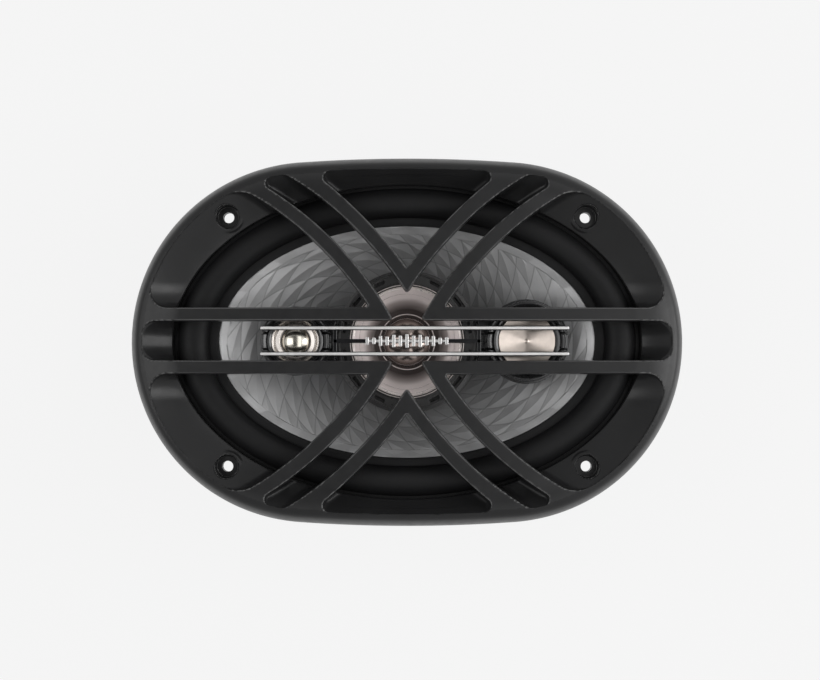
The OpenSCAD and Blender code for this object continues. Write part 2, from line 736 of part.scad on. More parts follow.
// Two axial capacitors under the bridge's arms
module capacitors() {
    color([0.10, 0.22, 0.42])
    for (x = [-38.8, 40.4]) translate([x, -4, -1.6]) rotate([0, 90, 0])
        cylinder(r = 4, h = 15, center = true);
}

board_z = shelf_z - flange_t;
module terminal_board() {
    color([0.42, 0.26, 0.12])
    difference() {
        translate([-14.5, -72.5, board_z - 1.6]) cube([29, 17, 1.6]);
        for (x = [-rivet_x, rivet_x]) translate([x, -67.5, board_z - 3]) cylinder(r = 1.05, h = 6);
        for (x = [-7.5, 7.5]) translate([x, -61.5, board_z - 3]) cylinder(r = 1.25, h = 6);
    }
}

// A flat tab under the board, with its rivet up through the board for the lead
module terminal(x, w, t) {
    color([0.80, 0.78, 0.70]) {
        difference() {
            translate([x - w / 2, -81, board_z - 1.6 - t]) cube([w, 23, t]);
            translate([x, -77, board_z - 4]) cylinder(r = w / 5, h = 4);
        }
        translate([x, -61.5, board_z - 1.7]) cylinder(r = 1.2, h = 2.4);
    }
}
module terminal_positive() { terminal(7.5, 6.3, 0.8); }
module terminal_negative() { terminal(-7.5, 2.8, 0.5); }

module terminal_rivets() {
    color([0.78, 0.78, 0.79])
    for (x = [-rivet_x, rivet_x]) translate([x, -67.5, 0]) {
        translate([0, 0, board_z - 2.4]) cylinder(r = 1.5, h = 0.78);
        translate([0, 0, board_z - 1.7]) cylinder(r = 1, h = 3.3);
        translate([0, 0, shelf_z + 0.02]) cylinder(r = 1.5, h = 0.8);
    }
}

// A round wire swept along hand-placed points, with sides facing round its direction
function direction(path, i) =
    let (n = len(path), v = path[min(i + 1, n - 1)] - path[max(i - 1, 0)]) v / norm(v);
function wire_ring(path, i, r, k) =
    let (d = direction(path, i), u = cross(abs(d[0]) < 0.9 ? [1, 0, 0] : [0, 1, 0], d), e = u / norm(u),
        f = cross(d, e))
    [for (j = [0:k - 1]) path[i] + r * (e * cos(360 * j / k) + f * sin(360 * j / k))];
// Points of a smooth curve through the path's own points
function smooth(path, m) =
    let (n = len(path))
    concat([for (i = [0:n - 2], s = [0:m - 1])
        let (t = s / m, a = path[max(i - 1, 0)], b = path[i], c = path[i + 1], d = path[min(i + 2, n - 1)])
        0.5 * (2 * b + (c - a) * t + (2 * a - 5 * b + 4 * c - d) * t ^ 2 + (3 * b - a - 3 * c + d) * t ^ 3)],
        [path[n - 1]]);
module wire(path, r, k = 8) {
    p = smooth(path, 3);
    stack_loft([for (i = [0:len(p) - 1]) wire_ring(p, i, r, k)]);
}

tinsel_path = [[7.5, -61.5, -36.6], [8, -61, -32.5], [8.4, -57.5, -28], [8, -50, -27.8], [7.2, -42, -29.6],
    [6.6, -35, -29.8], [6, -28.5, -27], [5.4, -23.4, -22.6]];
module tinsel(s) {
    color([0.74, 0.52, 0.34]) wire([for (p = tinsel_path) [p[0] * s, p[1], p[2]]], 0.6);
}
module tinsel_lead_positive() { tinsel(1); }
module tinsel_lead_negative() { tinsel(-1); }

feed_path = [[0, 0, -15], [0, 0, -40], [0, 0, -70], [0, -0.6, -74.6], [0, -3, -76.3], [0, -7, -76.45],
    [0, -24, -76.45], [0, -40, -76.45], [0, -44.6, -75.6], [0, -46.4, -72.5], [0, -46.6, -60], [0, -47, -50],
    [0, -49.6, -45], [1.4, -55, -42], [3.6, -59, -41.2], [5.6, -60.8, -41]];
module feed_wire(s) {
    color([0.15, 0.15, 0.15]) wire([for (p = feed_path) [s * (p[0] + 0.9), p[1], p[2]]], 0.8);
}
module feed_wire_positive() { feed_wire(1); }
module feed_wire_negative() { feed_wire(-1); }

grille();
basket();
frame_gasket();
surround();
woofer_cone();
dust_collar();
voice_coil_former();
voice_coil_winding();
spider();
top_plate();
plate_screws();
magnet();
pole_yoke();
magnet_boot();
bridge_post();
post_nut();
bridge();
badge_bar();
trim_strip_upper();
trim_strip_lower();
badge();
mid_ring();
mid_bezel();
mid_surround();
mid_cone();
mid_dust_cap();
mid_voice_coil();
mid_pole_plate();
mid_magnet();
mid_yoke();
tweeter_ring();
tweeter_diaphragm();
tweeter_voice_coil();
tweeter_pole_plate();
tweeter_magnet();
tweeter_yoke();
super_bezel();
super_reflector();
super_dome();
super_voice_coil();
super_pole_plate();
super_magnet();
super_yoke();
capacitors();
terminal_board();
terminal_positive();
terminal_negative();
terminal_rivets();
tinsel_lead_positive();
tinsel_lead_negative();
feed_wire_positive();
feed_wire_negative();
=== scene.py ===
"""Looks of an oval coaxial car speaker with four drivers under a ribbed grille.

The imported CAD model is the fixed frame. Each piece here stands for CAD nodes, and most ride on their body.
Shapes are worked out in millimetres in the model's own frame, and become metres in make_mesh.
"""

import json
import math

import bpy
import numpy as np
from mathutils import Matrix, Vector

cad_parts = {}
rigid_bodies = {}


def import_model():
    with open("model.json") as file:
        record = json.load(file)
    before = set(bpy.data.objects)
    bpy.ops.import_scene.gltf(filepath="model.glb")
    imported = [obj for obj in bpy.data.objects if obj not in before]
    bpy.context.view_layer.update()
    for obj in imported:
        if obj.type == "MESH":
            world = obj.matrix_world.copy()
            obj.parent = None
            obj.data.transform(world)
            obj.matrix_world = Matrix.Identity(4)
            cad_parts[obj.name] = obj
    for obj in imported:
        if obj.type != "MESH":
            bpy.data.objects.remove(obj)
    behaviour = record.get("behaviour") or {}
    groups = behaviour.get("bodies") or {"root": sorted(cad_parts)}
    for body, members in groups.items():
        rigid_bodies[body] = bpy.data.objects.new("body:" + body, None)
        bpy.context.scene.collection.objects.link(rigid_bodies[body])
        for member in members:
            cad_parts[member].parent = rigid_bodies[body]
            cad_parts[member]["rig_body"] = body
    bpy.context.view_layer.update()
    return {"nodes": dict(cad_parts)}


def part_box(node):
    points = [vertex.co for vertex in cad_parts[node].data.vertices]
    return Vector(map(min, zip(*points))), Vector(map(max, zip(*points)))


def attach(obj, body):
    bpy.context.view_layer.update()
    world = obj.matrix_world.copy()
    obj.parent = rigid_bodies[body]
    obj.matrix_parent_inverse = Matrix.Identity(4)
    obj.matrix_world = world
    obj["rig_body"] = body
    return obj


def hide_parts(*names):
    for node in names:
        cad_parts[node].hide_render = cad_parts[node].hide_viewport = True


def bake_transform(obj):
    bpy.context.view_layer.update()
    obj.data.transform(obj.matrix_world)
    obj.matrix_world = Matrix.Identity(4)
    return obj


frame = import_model()

MM = 0.001
TURN = 2 * np.pi


def corner(node, axis):
    """Highest coordinate of a CAD node along an axis, in millimetres."""
    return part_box(node)[1][axis] / MM


def middle(node, axis):
    """Middle of a CAD node along an axis, in millimetres."""
    low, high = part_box(node)
    return (low[axis] + high[axis]) / 2 / MM


# ---- Sizes -------------------------------------------------------------------------------

GRILLE_A = corner("grille", 0)
GRILLE_B = corner("grille", 1)
GRILLE_END_R = GRILLE_B - 1.5
BAR_TOP = corner("grille", 2)
BAR_BOTTOM = 14.5
APERTURE = (103.8, 69.6)
APERTURE_Z = 5.5
CREST_INSET = 6.2
CREST_Z = 16.0
# Where a pocket's floor sweeps up beside the straight bars: how wide, and how far up
SWEEP, SWEEP_RISE = 12.0, 6.0
SCREW_X, SCREW_Y, SCREW_R = 79.375, 55.25, 2.4
BOSS_R, BOSS_TOP, BOSS_FOOT_R, COUNTERBORE_R, COUNTERBORE_Z = 6.6, 7.3, 4.6, 5.05, 5.0
# Edges of the grille's bars as circles (x, y, radius), and half widths of the straight ones
BAR_IN, BAR_OUT = 9.05, 14.5
OUTER_BAR_IN = (142.33, -65.73, 155.39)
OUTER_BAR_OUT = (149.45, -72.25, 158.90)
INNER_BAR_OUT = (142.62, -70.53, 169.38)
INNER_BAR_IN = (157.95, -81.73, 194.26)
STRAIGHT = 20000

FLANGE_T = 1.5
CONE_A, CONE_B = 83.7, 51.6
CONE_LIP_Z, CONE_DEPTH, CONE_CURVE = 2.6, 30.2, 0.8
FORMER_R = 15.6
NECK_R = FORMER_R + 0.8
NECK_Z = CONE_LIP_Z - 0.4 - CONE_DEPTH
ROLL_IN = (CONE_A + 4.2, CONE_B + 3.6)
ROLL_OUT = (102.0, 68.6)
LIP = (106.8, 72.6)
ROLL_H, RUBBER_T = 6.8, 0.7
SHELF_Z, SHELF_R = -36.0, 54.8
CUP_R, PLATE_Z, ARM_W = 47.5, -44.0, 13.0
MAGNET_R = corner("magnet", 0)
BOOT_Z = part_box("magnet_boot")[0][2] / MM
YOKE_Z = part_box("pole_yoke")[0][2] / MM
MAGNET_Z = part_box("magnet")[0][2] / MM
TOP_PLATE_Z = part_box("top_plate")[0][2] / MM
PLATE_R, POLE_R = 42.0, 14.8
TWEETER_X = middle("tweeter_ring", 0)
SUPER_X = middle("super_bezel", 0)


# ---- Signed distances --------------------------------------------------------------------

def smax(p, q, r):
    """The larger of two distances, with the edge between them rounded to radius r."""
    return np.minimum(-r, np.maximum(p, q)) + np.hypot(np.maximum(r + p, 0), np.maximum(r + q, 0))


def smin(p, q, r):
    """The smaller of two distances, with the inner corner between them filled to radius r."""
    return -smax(-p, -q, r)


def cut(body, hole, r):
    """A body with a hole cut out of it, with the edge rounded to radius r."""
    return smax(body, -hole, r)


def slab(v, low, high):
    """Distance from the space between two parallel planes."""
    return np.abs(v - (low + high) / 2) - (high - low) / 2


def long_radius(a, b, r):
    """Radius of the long arcs of an oval with half sizes a and b and end arcs of radius r."""
    return ((a - r) ** 2 + b ** 2 - r ** 2) / (2 * (b - r))


def oval(x, y, a, b, r):
    """Signed distance from that oval."""
    big = long_radius(a, b, r)
    x, y = np.abs(x), np.abs(y)
    at_end = (a - r) * (y + big - b) < (big - b) * x
    return np.where(at_end, np.hypot(x - (a - r), y) - r, np.hypot(x, y + big - b) - big)


def ellipse(x, y, a, b):
    """Nearly the signed distance from an ellipse."""
    f = np.maximum(np.hypot(x / a, y / b), 1e-6)
    slope = np.maximum(np.hypot(x / a ** 2, y / b ** 2), 1e-6 / b)
    return (f - 1) * f / slope


def line(r, z, p, q):
    """Distance to the right of the line from p to q in the (r, z) plane."""
    dr, dz = q[0] - p[0], q[1] - p[1]
    return ((r - p[0]) * dz - (z - p[1]) * dr) / math.hypot(dr, dz)


def gradient(f, p, h=0.02):
    """Direction and steepness in which f grows at the points p."""
    out = np.empty_like(p)
    for k in range(3):
        step = np.zeros(3)
        step[k] = h
        out[:, k] = (f(*(p + step).T) - f(*(p - step).T)) / (2 * h)
    return out


def surface_net(f, low, high, step, settle=4):
    """Points, quads and normals of the surface where f is 0, in a box cut into cells of one size."""
    axes = [np.arange(a, b + step, step) for a, b in zip(low, high)]
    values = np.asarray(f(axes[0][:, None, None], axes[1][None, :, None], axes[2][None, None, :]))
    inside = values < 0
    shape = [n - 1 for n in inside.shape]
    corners = [(i, j, k) for i in (0, 1) for j in (0, 1) for k in (0, 1)]

    def shifted(array, c):
        return array[c[0]:c[0] + shape[0], c[1]:c[1] + shape[1], c[2]:c[2] + shape[2]]

    count = sum(shifted(inside, c).astype(np.int8) for c in corners)
    cells = np.argwhere((count > 0) & (count < 8))
    number = np.full(shape, -1, np.int64)
    number[tuple(cells.T)] = np.arange(len(cells))
    at = {c: values[tuple((cells + c).T)] for c in corners}
    total, crossings = np.zeros((len(cells), 3)), np.zeros(len(cells))
    for c in corners:
        for k in range(3):
            if c[k]:
                continue
            d = tuple(v + (i == k) for i, v in enumerate(c))
            crossed = (at[c] < 0) != (at[d] < 0)
            share = at[c] / np.where(crossed, at[c] - at[d], 1)
            spot = np.array(c, float) + share[:, None] * (np.arange(3) == k)
            total += spot * crossed[:, None]
            crossings += crossed
    points = (cells + total / crossings[:, None]) * step + np.array([a[0] for a in axes])
    for _ in range(settle):
        g = gradient(f, points)
        steep = np.maximum((g ** 2).sum(1), 0.05)
        move = -(f(*points.T) / steep)[:, None] * g
        far = np.maximum(np.linalg.norm(move, axis=1) / (0.5 * step), 1)
        points = points + move / far[:, None]
    normals = gradient(f, points)
    normals /= np.maximum(np.linalg.norm(normals, axis=1), 1e-9)[:, None]
    quads = []
    for k in range(3):
        u, v = (k + 1) % 3, (k + 2) % 3
        one = np.moveaxis(inside, (k, u, v), (0, 1, 2))
        cell = np.moveaxis(number, (k, u, v), (0, 1, 2))
        edge = np.argwhere(one[:-1, 1:-1, 1:-1] != one[1:, 1:-1, 1:-1])
        i, j, m = edge[:, 0], edge[:, 1] + 1, edge[:, 2] + 1
        quad = np.stack([cell[i, j - 1, m - 1], cell[i, j, m - 1], cell[i, j, m], cell[i, j - 1, m]], 1)
        leaving = one[i, j, m]
        quads.append(np.where(leaving[:, None], quad, quad[:, ::-1]))
    return points, np.concatenate(quads), normals


# ---- Outlines of the grille's holes ------------------------------------------------------

def fillet_centre(p, q, f, hint):
    """Centre of a circle of signed radius f that touches two edges, nearest to the hint.
    An edge is (x, y, radius, side): side 1 keeps the hole inside that circle, and -1 outside it."""
    r1, r2 = p[2] - p[3] * f, q[2] - q[3] * f
    start, d = np.array(p[:2], float), np.array(q[:2], float) - np.array(p[:2], float)
    l = np.hypot(*d)
    x = (r1 ** 2 - r2 ** 2 + l ** 2) / (2 * l)
    h = math.sqrt(max(0, r1 ** 2 - x ** 2))
    foot, n = start + d / l * x, np.array([-d[1], d[0]]) / l * h
    return min((foot + n, foot - n), key=lambda c: np.hypot(*(c - hint)))


def touch(edge, c):
    v = c - np.array(edge[:2])
    return np.array(edge[:2]) + v / np.hypot(*v) * edge[2]


def short_arc(c, r, p, q, step):
    """Points from p to q about a centre, the short way round, without q."""
    start = math.atan2(p[1] - c[1], p[0] - c[0])
    turn = (math.atan2(q[1] - c[1], q[0] - c[0]) - start + math.pi) % TURN - math.pi
    n = max(1, math.ceil(abs(turn * r) / step))
    t = start + turn * np.arange(n) / n
    return np.stack([c[0] + abs(r) * np.cos(t), c[1] + abs(r) * np.sin(t)], 1)


def hole_outline(corners, step=1.0):
    """Outline of a hole from its corners (first edge, second edge, fillet, hint), in order round it."""
    centres = [fillet_centre(*c) for c in corners]
    out = []
    for k, (first, second, fillet, _) in enumerate(corners):
        c, after = centres[k], centres[(k + 1) % len(corners)]
        start, end, far = touch(first, c), touch(second, c), touch(second, after)
        out.append(short_arc(c, fillet, start, end, 0.3))
        if second[2] == STRAIGHT:
            out.append(end[None])
        else:
            out.append(short_arc(second[:2], second[2], end, far, step))
    return np.concatenate(out)


def grille_outlines():
    """Outlines of the large middle hole, the four corner holes and the two top holes."""
    end_r = GRILLE_END_R - CREST_INSET
    pocket_end = (GRILLE_A - GRILLE_END_R, 0, end_r)
    long_r = long_radius(GRILLE_A, GRILLE_B, GRILLE_END_R) - CREST_INSET
    pocket_long = (0, GRILLE_B - CREST_INSET - long_r, long_r)

    def edge(arc, side, sx=1, sy=1):
        return (arc[0] * sx, arc[1] * sy, arc[2], side)

    def bar_edge(y, side, sx, sy):
        return edge((0, y - STRAIGHT, STRAIGHT), side, sx, sy)

    def quarter(sx, sy):
        end, bar = edge(pocket_end, 1, sx, sy), bar_edge(BAR_IN, 1, sx, sy)
        low, high = edge(OUTER_BAR_IN, -1, sx, sy), edge(INNER_BAR_OUT, 1, sx, sy)
        over = edge(INNER_BAR_OUT, 1, -sx, sy)
        return [(end, bar, 6, (112 * sx, 5 * sy)), (bar, low, -1, (7 * sx, 9 * sy)),
                (low, end, 3, (63 * sx, 69 * sy)), (end, high, 7, (50 * sx, 68 * sy)),
                (high, over, -1, (0, 22 * sy))]

    def turned(corners):
        return [(second, first, f, hint) for first, second, f, hint in reversed(corners)]

    def half(sy):
        return quarter(1, sy) + turned(quarter(-1, sy))[1:]

    def corner_hole(sx, sy):
        bar, end = bar_edge(BAR_OUT, -1, sx, sy), edge(pocket_end, 1, sx, sy)
        side = edge(OUTER_BAR_OUT, 1, sx, sy)
        return [(bar, end, 8, (108 * sx, 20 * sy)), (end, side, 13, (72 * sx, 58 * sy)),
                (side, bar, 0.8, (17 * sx, 15 * sy))]

    def top_hole(sy):
        top = edge(pocket_long, 1, 1, sy)
        right, left = edge(INNER_BAR_IN, -1, 1, sy), edge(INNER_BAR_IN, -1, -1, sy)
        return [(top, right, 3.2, (38, 72 * sy)), (right, left, 0.8, (0, 32 * sy)),
                (left, top, 3.2, (-38, 72 * sy))]

    holes = [half(1) + turned(half(-1))] + [top_hole(sy) for sy in (-1, 1)]
    holes += [corner_hole(sx, sy) for sx in (-1, 1) for sy in (-1, 1)]
    return [hole_outline(h) for h in holes]


def distance_table(outlines, size, step):
    """Signed distance inside the outlines, positive in a hole, on a grid over the first quadrant."""
    a = np.concatenate(outlines)
    b = np.concatenate([np.roll(o, -1, 0) for o in outlines])
    xs, ys = np.arange(0, size[0] + step, step), np.arange(0, size[1] + step, step)
    inside = np.zeros((len(xs), len(ys)), bool)
    for j, y in enumerate(ys + 1e-7):
        hit = (a[:, 1] > y) != (b[:, 1] > y)
        cross = a[hit, 0] + (y - a[hit, 1]) / (b[hit, 1] - a[hit, 1]) * (b[hit, 0] - a[hit, 0])
        inside[:, j] = np.searchsorted(np.sort(cross), xs) % 2 == 1
    near = (np.maximum(a, b) > -2).all(1)
    a, d = a[near], (b - a)[near]
    best = np.full(inside.shape, 1e9)
    x, y = xs[:, None], ys[None, :]
    for p, v in zip(a, d):
        share = np.clip(((x - p[0]) * v[0] + (y - p[1]) * v[1]) / max(v @ v, 1e-12), 0, 1)
        best = np.minimum(best, (x - p[0] - share * v[0]) ** 2 + (y - p[1] - share * v[1]) ** 2)
    table = np.sqrt(best) * np.where(inside, 1, -1)

    def lookup(x, y):
        i, j = np.broadcast_arrays(np.abs(x) / step, np.abs(y) / step)
        i = np.clip(i, 0, len(xs) - 1.001)
        j = np.clip(j, 0, len(ys) - 1.001)
        i0, j0 = i.astype(int), j.astype(int)
        u, v = i - i0, j - j0
        return ((table[i0, j0] * (1 - u) + table[i0 + 1, j0] * u) * (1 - v)
                + (table[i0, j0 + 1] * (1 - u) + table[i0 + 1, j0 + 1] * u) * v)
    return lookup


# ---- Meshes ------------------------------------------------------------------------------

def make_mesh(name, points, faces, normals=None, crease=35):
    """A smooth mesh from points in millimetres and arrays of faces. Without normals of its own,
    its edges are sharp where faces meet at more than the crease angle."""
    groups = [g for g in (faces if isinstance(faces, list) else [faces]) if len(g)]
    sizes = np.concatenate([np.full(len(g), g.shape[1]) for g in groups])
    corners = np.concatenate([g.ravel() for g in groups]).astype(np.int32)
    mesh = bpy.data.meshes.new(name)
    mesh.vertices.add(len(points))
    mesh.vertices.foreach_set("co", (np.asarray(points) * MM).astype(np.float32).ravel())
    mesh.loops.add(len(corners))
    mesh.loops.foreach_set("vertex_index", corners)
    mesh.polygons.add(len(sizes))
    starts = np.concatenate([[0], np.cumsum(sizes)[:-1]])
    mesh.polygons.foreach_set("loop_start", starts.astype(np.int32))
    mesh.polygons.foreach_set("use_smooth", np.ones(len(sizes), bool))
    mesh.update(calc_edges=True)
    if normals is None:
        mesh.set_sharp_from_angle(angle=math.radians(crease))
    else:
        mesh.normals_split_custom_set_from_vertices(np.asarray(normals, float))
    return mesh


def whole_faces(quads):
    """Quads, and the triangles left where a quad has two equal corners."""
    same = quads == np.roll(quads, -1, 1)
    once = same.sum(1) == 1
    first = same[once].argmax(1)
    keep = (first[:, None] + np.arange(1, 4)) % 4
    return [quads[~same.any(1)], np.take_along_axis(quads[once], keep, 1)]


def grid_quads(index, closed=True):
    """Quads between the rows of a grid of point numbers. Its columns close round, and its rows may."""
    after = np.roll(index, -1, 0)
    rows = len(index) if closed else len(index) - 1
    low, high = index[:rows], after[:rows]
    return np.stack([low, np.roll(low, -1, 1), np.roll(high, -1, 1), high], -1).reshape(-1, 4)


def joined(parts):
    """Several parts as one. A part is its points, its faces and, where it has them, its normals."""
    faces, start = [], 0
    for points, own, *_ in parts:
        faces += [g + start for g in (own if isinstance(own, list) else [own])]
        start += len(points)
    points, _, *normals = zip(*parts)
    return (np.concatenate(points), faces, *map(np.concatenate, normals))


def moved(part, shift):
    points, faces, normals = part
    return points + np.array(shift, float), faces, normals


def turned_about_z(part, degrees):
    points, faces, normals = part
    c, s = math.cos(math.radians(degrees)), math.sin(math.radians(degrees))
    turn = np.array([[c, s, 0], [-s, c, 0], [0, 0, 1]])
    return points @ turn, faces, normals @ turn


def rounded(profile, closed):
    """A profile in (r, z) with round corners, as points and outward normals. It runs with the solid on
    its left. A corner is (r, z, fillet), and fillet 0 marks a point of a smooth curve."""
    p = np.array([c[:2] for c in profile], float)
    n = len(p)
    d = np.roll(p, -1, 0) - p
    length = np.maximum(np.hypot(*d.T), 1e-9)
    d /= length[:, None]
    right = np.stack([d[:, 1], -d[:, 0]], 1)
    points, normals = [], []
    for k in range(n):
        if not closed and k in (0, n - 1):
            points.append(p[k])
            normals.append(right[0] if k == 0 else right[k - 1])
            continue
        n1, n2, fillet = right[k - 1], right[k], profile[k][2]
        turn = math.atan2(n1[0] * n2[1] - n1[1] * n2[0], n1 @ n2)
        if not fillet or abs(turn) < 1e-4:
            points.append(p[k])
            normals.append((n1 + n2) / np.hypot(*(n1 + n2)))
            continue
        half = math.tan(abs(turn) / 2)
        reach = min(fillet * half, 0.48 * length[k - 1], 0.48 * length[k])
        r = math.copysign(reach / half, turn)
        centre = p[k] - d[k - 1] * reach - n1 * r
        steps = max(2, math.ceil(abs(turn) / math.radians(15)))
        for a in turn * np.arange(steps + 1) / steps:
            c, s = math.cos(a), math.sin(a)
            m = np.array([n1[0] * c - n1[1] * s, n1[0] * s + n1[1] * c])
            points.append(centre + r * m)
            normals.append(m)
    return np.array(points), np.array(normals)


def lathe(profile, x=0.0, sides=128, closed=True):
    """A rounded profile turned about a vertical axis."""
    p, n = rounded(profile, closed)
    t = np.arange(sides) / sides * TURN
    c, s = np.cos(t), np.sin(t)
    points, normals, index, start = [], [], [], 0
    for (r, z), (nr, nz) in zip(p, n):
        if r < 1e-6:
            points.append([[x, 0, z]])
            normals.append([[0, 0, math.copysign(1, nz)]])
            index.append(np.full(sides, start))
            start += 1
            continue
        points.append(np.stack([x + r * c, r * s, np.full(sides, z)], 1))
        normals.append(np.stack([nr * c, nr * s, np.full(sides, nz)], 1))
        index.append(start + np.arange(sides))
        start += sides
    faces = whole_faces(grid_quads(np.array(index), closed))
    return np.concatenate(points), faces, np.concatenate(normals)


def soft_box(low, high, r):
    """A box with edges and corners of radius r."""
    low, high = np.array(low, float), np.array(high, float)
    half, centre = (high - low) / 2, (high + low) / 2
    share = 1 - np.cos(np.linspace(0, np.pi / 4, 4))
    edge = np.concatenate([share, [1]])
    points, faces, start = [], [], 0
    for k in range(3):
        u, v = (k + 1) % 3, (k + 2) % 3
        for side in (-1, 1):
            gu = np.concatenate([-half[u] + r * edge, half[u] - r * edge[::-1]])
            gv = np.concatenate([-half[v] + r * edge, half[v] - r * edge[::-1]])
            a, b = np.meshgrid(gu, gv, indexing="ij")
            p = np.empty(a.shape + (3,))
            p[..., k], p[..., u], p[..., v] = side * half[k], a, b
            index = start + np.arange(a.size).reshape(a.shape)
            quads = np.stack([index[:-1, :-1], index[1:, :-1], index[1:, 1:], index[:-1, 1:]], -1)
            quads = quads.reshape(-1, 4)
            faces.append(quads if side > 0 else quads[:, ::-1])
            points.append(p.reshape(-1, 3))
            start += a.size
    p = np.concatenate(points)
    core = np.clip(p, -(half - r), half - r)
    normals = (p - core) / np.linalg.norm(p - core, axis=1)[:, None]
    p = core + r * normals
    keys, first, same = np.unique(np.round(p, 5), axis=0, return_index=True, return_inverse=True)
    faces = np.ravel(same)[np.concatenate(faces)]
    return p[first] + centre, faces, normals[first]


def smooth_path(points, step):
    """Points of a smooth curve through a path's own points, about one step apart."""
    p = np.array(points, float)
    ends = np.concatenate([[2 * p[0] - p[1]], p, [2 * p[-1] - p[-2]]])
    out = []
    for a, b, c, d in zip(ends, ends[1:], ends[2:], ends[3:]):
        n = max(2, math.ceil(np.linalg.norm(c - b) / step))
        t = (np.arange(n) / n)[:, None]
        out.append(0.5 * (2 * b + (c - a) * t + (2 * a - 5 * b + 4 * c - d) * t ** 2
                          + (3 * b - a - 3 * c + d) * t ** 3))
    return np.concatenate(out + [p[-1:]])


def tube(path, radius, sides=12, ripple=None):
    """A round tube along a path. ripple(length along it, angle) adds to its radius."""
    d = np.gradient(path, axis=0)
    d /= np.linalg.norm(d, axis=1)[:, None]
    along = np.concatenate([[0], np.cumsum(np.linalg.norm(np.diff(path, axis=0), axis=1))])
    side = np.cross(d[0], [0.3, 1.0, 0.2])
    t = np.arange(sides) / sides * TURN
    points = []
    for p, v, s in zip(path, d, along):
        side = side - v * (side @ v)
        side /= np.linalg.norm(side)
        up = np.cross(v, side)
        r = radius + (ripple(s, t) if ripple else 0 * t)
        points.append(p + (r * np.cos(t))[:, None] * side + (r * np.sin(t))[:, None] * up)
    n = len(path) * sides
    points = np.concatenate(points + [path[:1], path[-1:]])
    index = np.arange(n).reshape(len(path), sides)
    index = np.concatenate([np.full((1, sides), n), index, np.full((1, sides), n + 1)])
    return points, whole_faces(grid_quads(index, closed=False)[:, ::-1])


def ring_points(rows, sides):
    """Points of rings that are ellipses, from rows (half length, half width, height)."""
    t = np.arange(sides) / sides * TURN
    rows = np.array(rows, float)
    x, y = rows[:, :1] * np.cos(t), rows[:, 1:2] * np.sin(t)
    return np.stack([x, y, np.broadcast_to(rows[:, 2:3], x.shape)], -1).reshape(-1, 3)


def ring_sweep(rows, sides=288):
    """A closed band round the speaker, from a closed list of ellipses."""
    return ring_points(rows, sides), grid_quads(np.arange(len(rows) * sides).reshape(len(rows), sides))


# ---- Materials ---------------------------------------------------------------------------

class Nodes:
    """Adds nodes to a material's tree."""

    def __init__(self, name):
        self.material = bpy.data.materials.new(name)
        self.material.use_nodes = True
        self.tree = self.material.node_tree
        self.shader = self.tree.nodes["Principled BSDF"]
        self.place = self.add("ShaderNodeTexCoord").outputs["Object"]

    def add(self, kind, **sockets):
        node = self.tree.nodes.new(kind)
        for key, value in sockets.items():
            self.set(node.inputs[key.replace("_", " ")], value)
        return node

    def set(self, socket, value):
        if isinstance(value, bpy.types.NodeSocket):
            self.tree.links.new(value, socket)
        else:
            socket.default_value = value

    def attribute(self, name):
        node = self.add("ShaderNodeAttribute")
        node.attribute_name = name
        return node.outputs["Fac"]

    def noise(self, size, detail=3.0):
        """Noise whose features are about size millimetres across."""
        node = self.add("ShaderNodeTexNoise", Vector=self.place, Scale=1 / (size * MM), Detail=detail)
        return node.outputs["Fac"]

    def spread(self, value, low, high, start=0.3, end=0.7):
        """value between start and end, as a number from low to high."""
        return self.add("ShaderNodeMapRange", Value=value, From_Min=start, From_Max=end, To_Min=low,
                        To_Max=high).outputs[0]

    def math(self, operation, *values):
        node = self.add("ShaderNodeMath")
        node.operation = operation
        for socket, value in zip(node.inputs, values):
            self.set(socket, value)
        return node.outputs[0]

    def radius(self):
        """Distance in metres from the speaker's axis."""
        x, y, _ = self.add("ShaderNodeSeparateXYZ", Vector=self.place).outputs
        squares = [self.math("MULTIPLY", v, v) for v in (x, y)]
        return self.math("SQRT", self.math("ADD", *squares))

    def line_at(self, radius, at, full, none):
        """1 within full metres of the radius at, which is in millimetres, and 0 beyond none."""
        away = self.math("ABSOLUTE", self.math("SUBTRACT", radius, at * MM))
        return self.spread(away, 1, 0, full, none)

    def mix(self, share, first, second, blend="MIX"):
        node = self.add("ShaderNodeMix")
        node.data_type = "RGBA"
        node.blend_type = blend
        for key, value in ((0, share), (6, first), (7, second)):
            self.set(node.inputs[key], (*value, 1) if isinstance(value, tuple) else value)
        return node.outputs[2]

    def clouds(self, size, color, low, high):
        """A colour that drifts between two shares of itself, in clouds about size millimetres across."""
        return self.mix(self.spread(self.noise(size), 0, 1), tint(color, low), tint(color, high))

    def waves(self, value, pitch):
        """Sine of a length in metres, with a pitch in millimetres."""
        return self.math("SINE", self.math("MULTIPLY", value, TURN / (pitch * MM)))

    def bump(self, height, strength, depth):
        """Bump whose full height is depth millimetres."""
        below = self.shader.inputs["Normal"].links
        node = self.add("ShaderNodeBump", Height=height, Strength=strength, Distance=depth * MM)
        if below:
            self.set(node.inputs["Normal"], below[0].from_socket)
        self.set(self.shader.inputs["Normal"], node.outputs[0])

    def finish(self, **sockets):
        for key, value in sockets.items():
            self.set(self.shader.inputs[key.replace("_", " ")], value)
        return self.material


def tint(color, share):
    return tuple(c * share for c in color)


def grained_shell(name, color, painted_highlight_color, roughness):
    """Satin plastic with a fine grain, and a painted highlight where its edge attribute marks rounded edges.
    """
    n = Nodes(name)
    n.bump(n.noise(0.3, 2), 0.5, 0.03)
    # Painted highlight: the edge attribute blends the colour toward a light grey on rounded edges
    return n.finish(Base_Color=n.mix(n.attribute("edge"), n.clouds(18, color, 0.9, 1.1), painted_highlight_color),
                    Specular_IOR_Level=0.32,
                    Roughness=n.spread(n.noise(3), roughness - 0.04, roughness + 0.04))


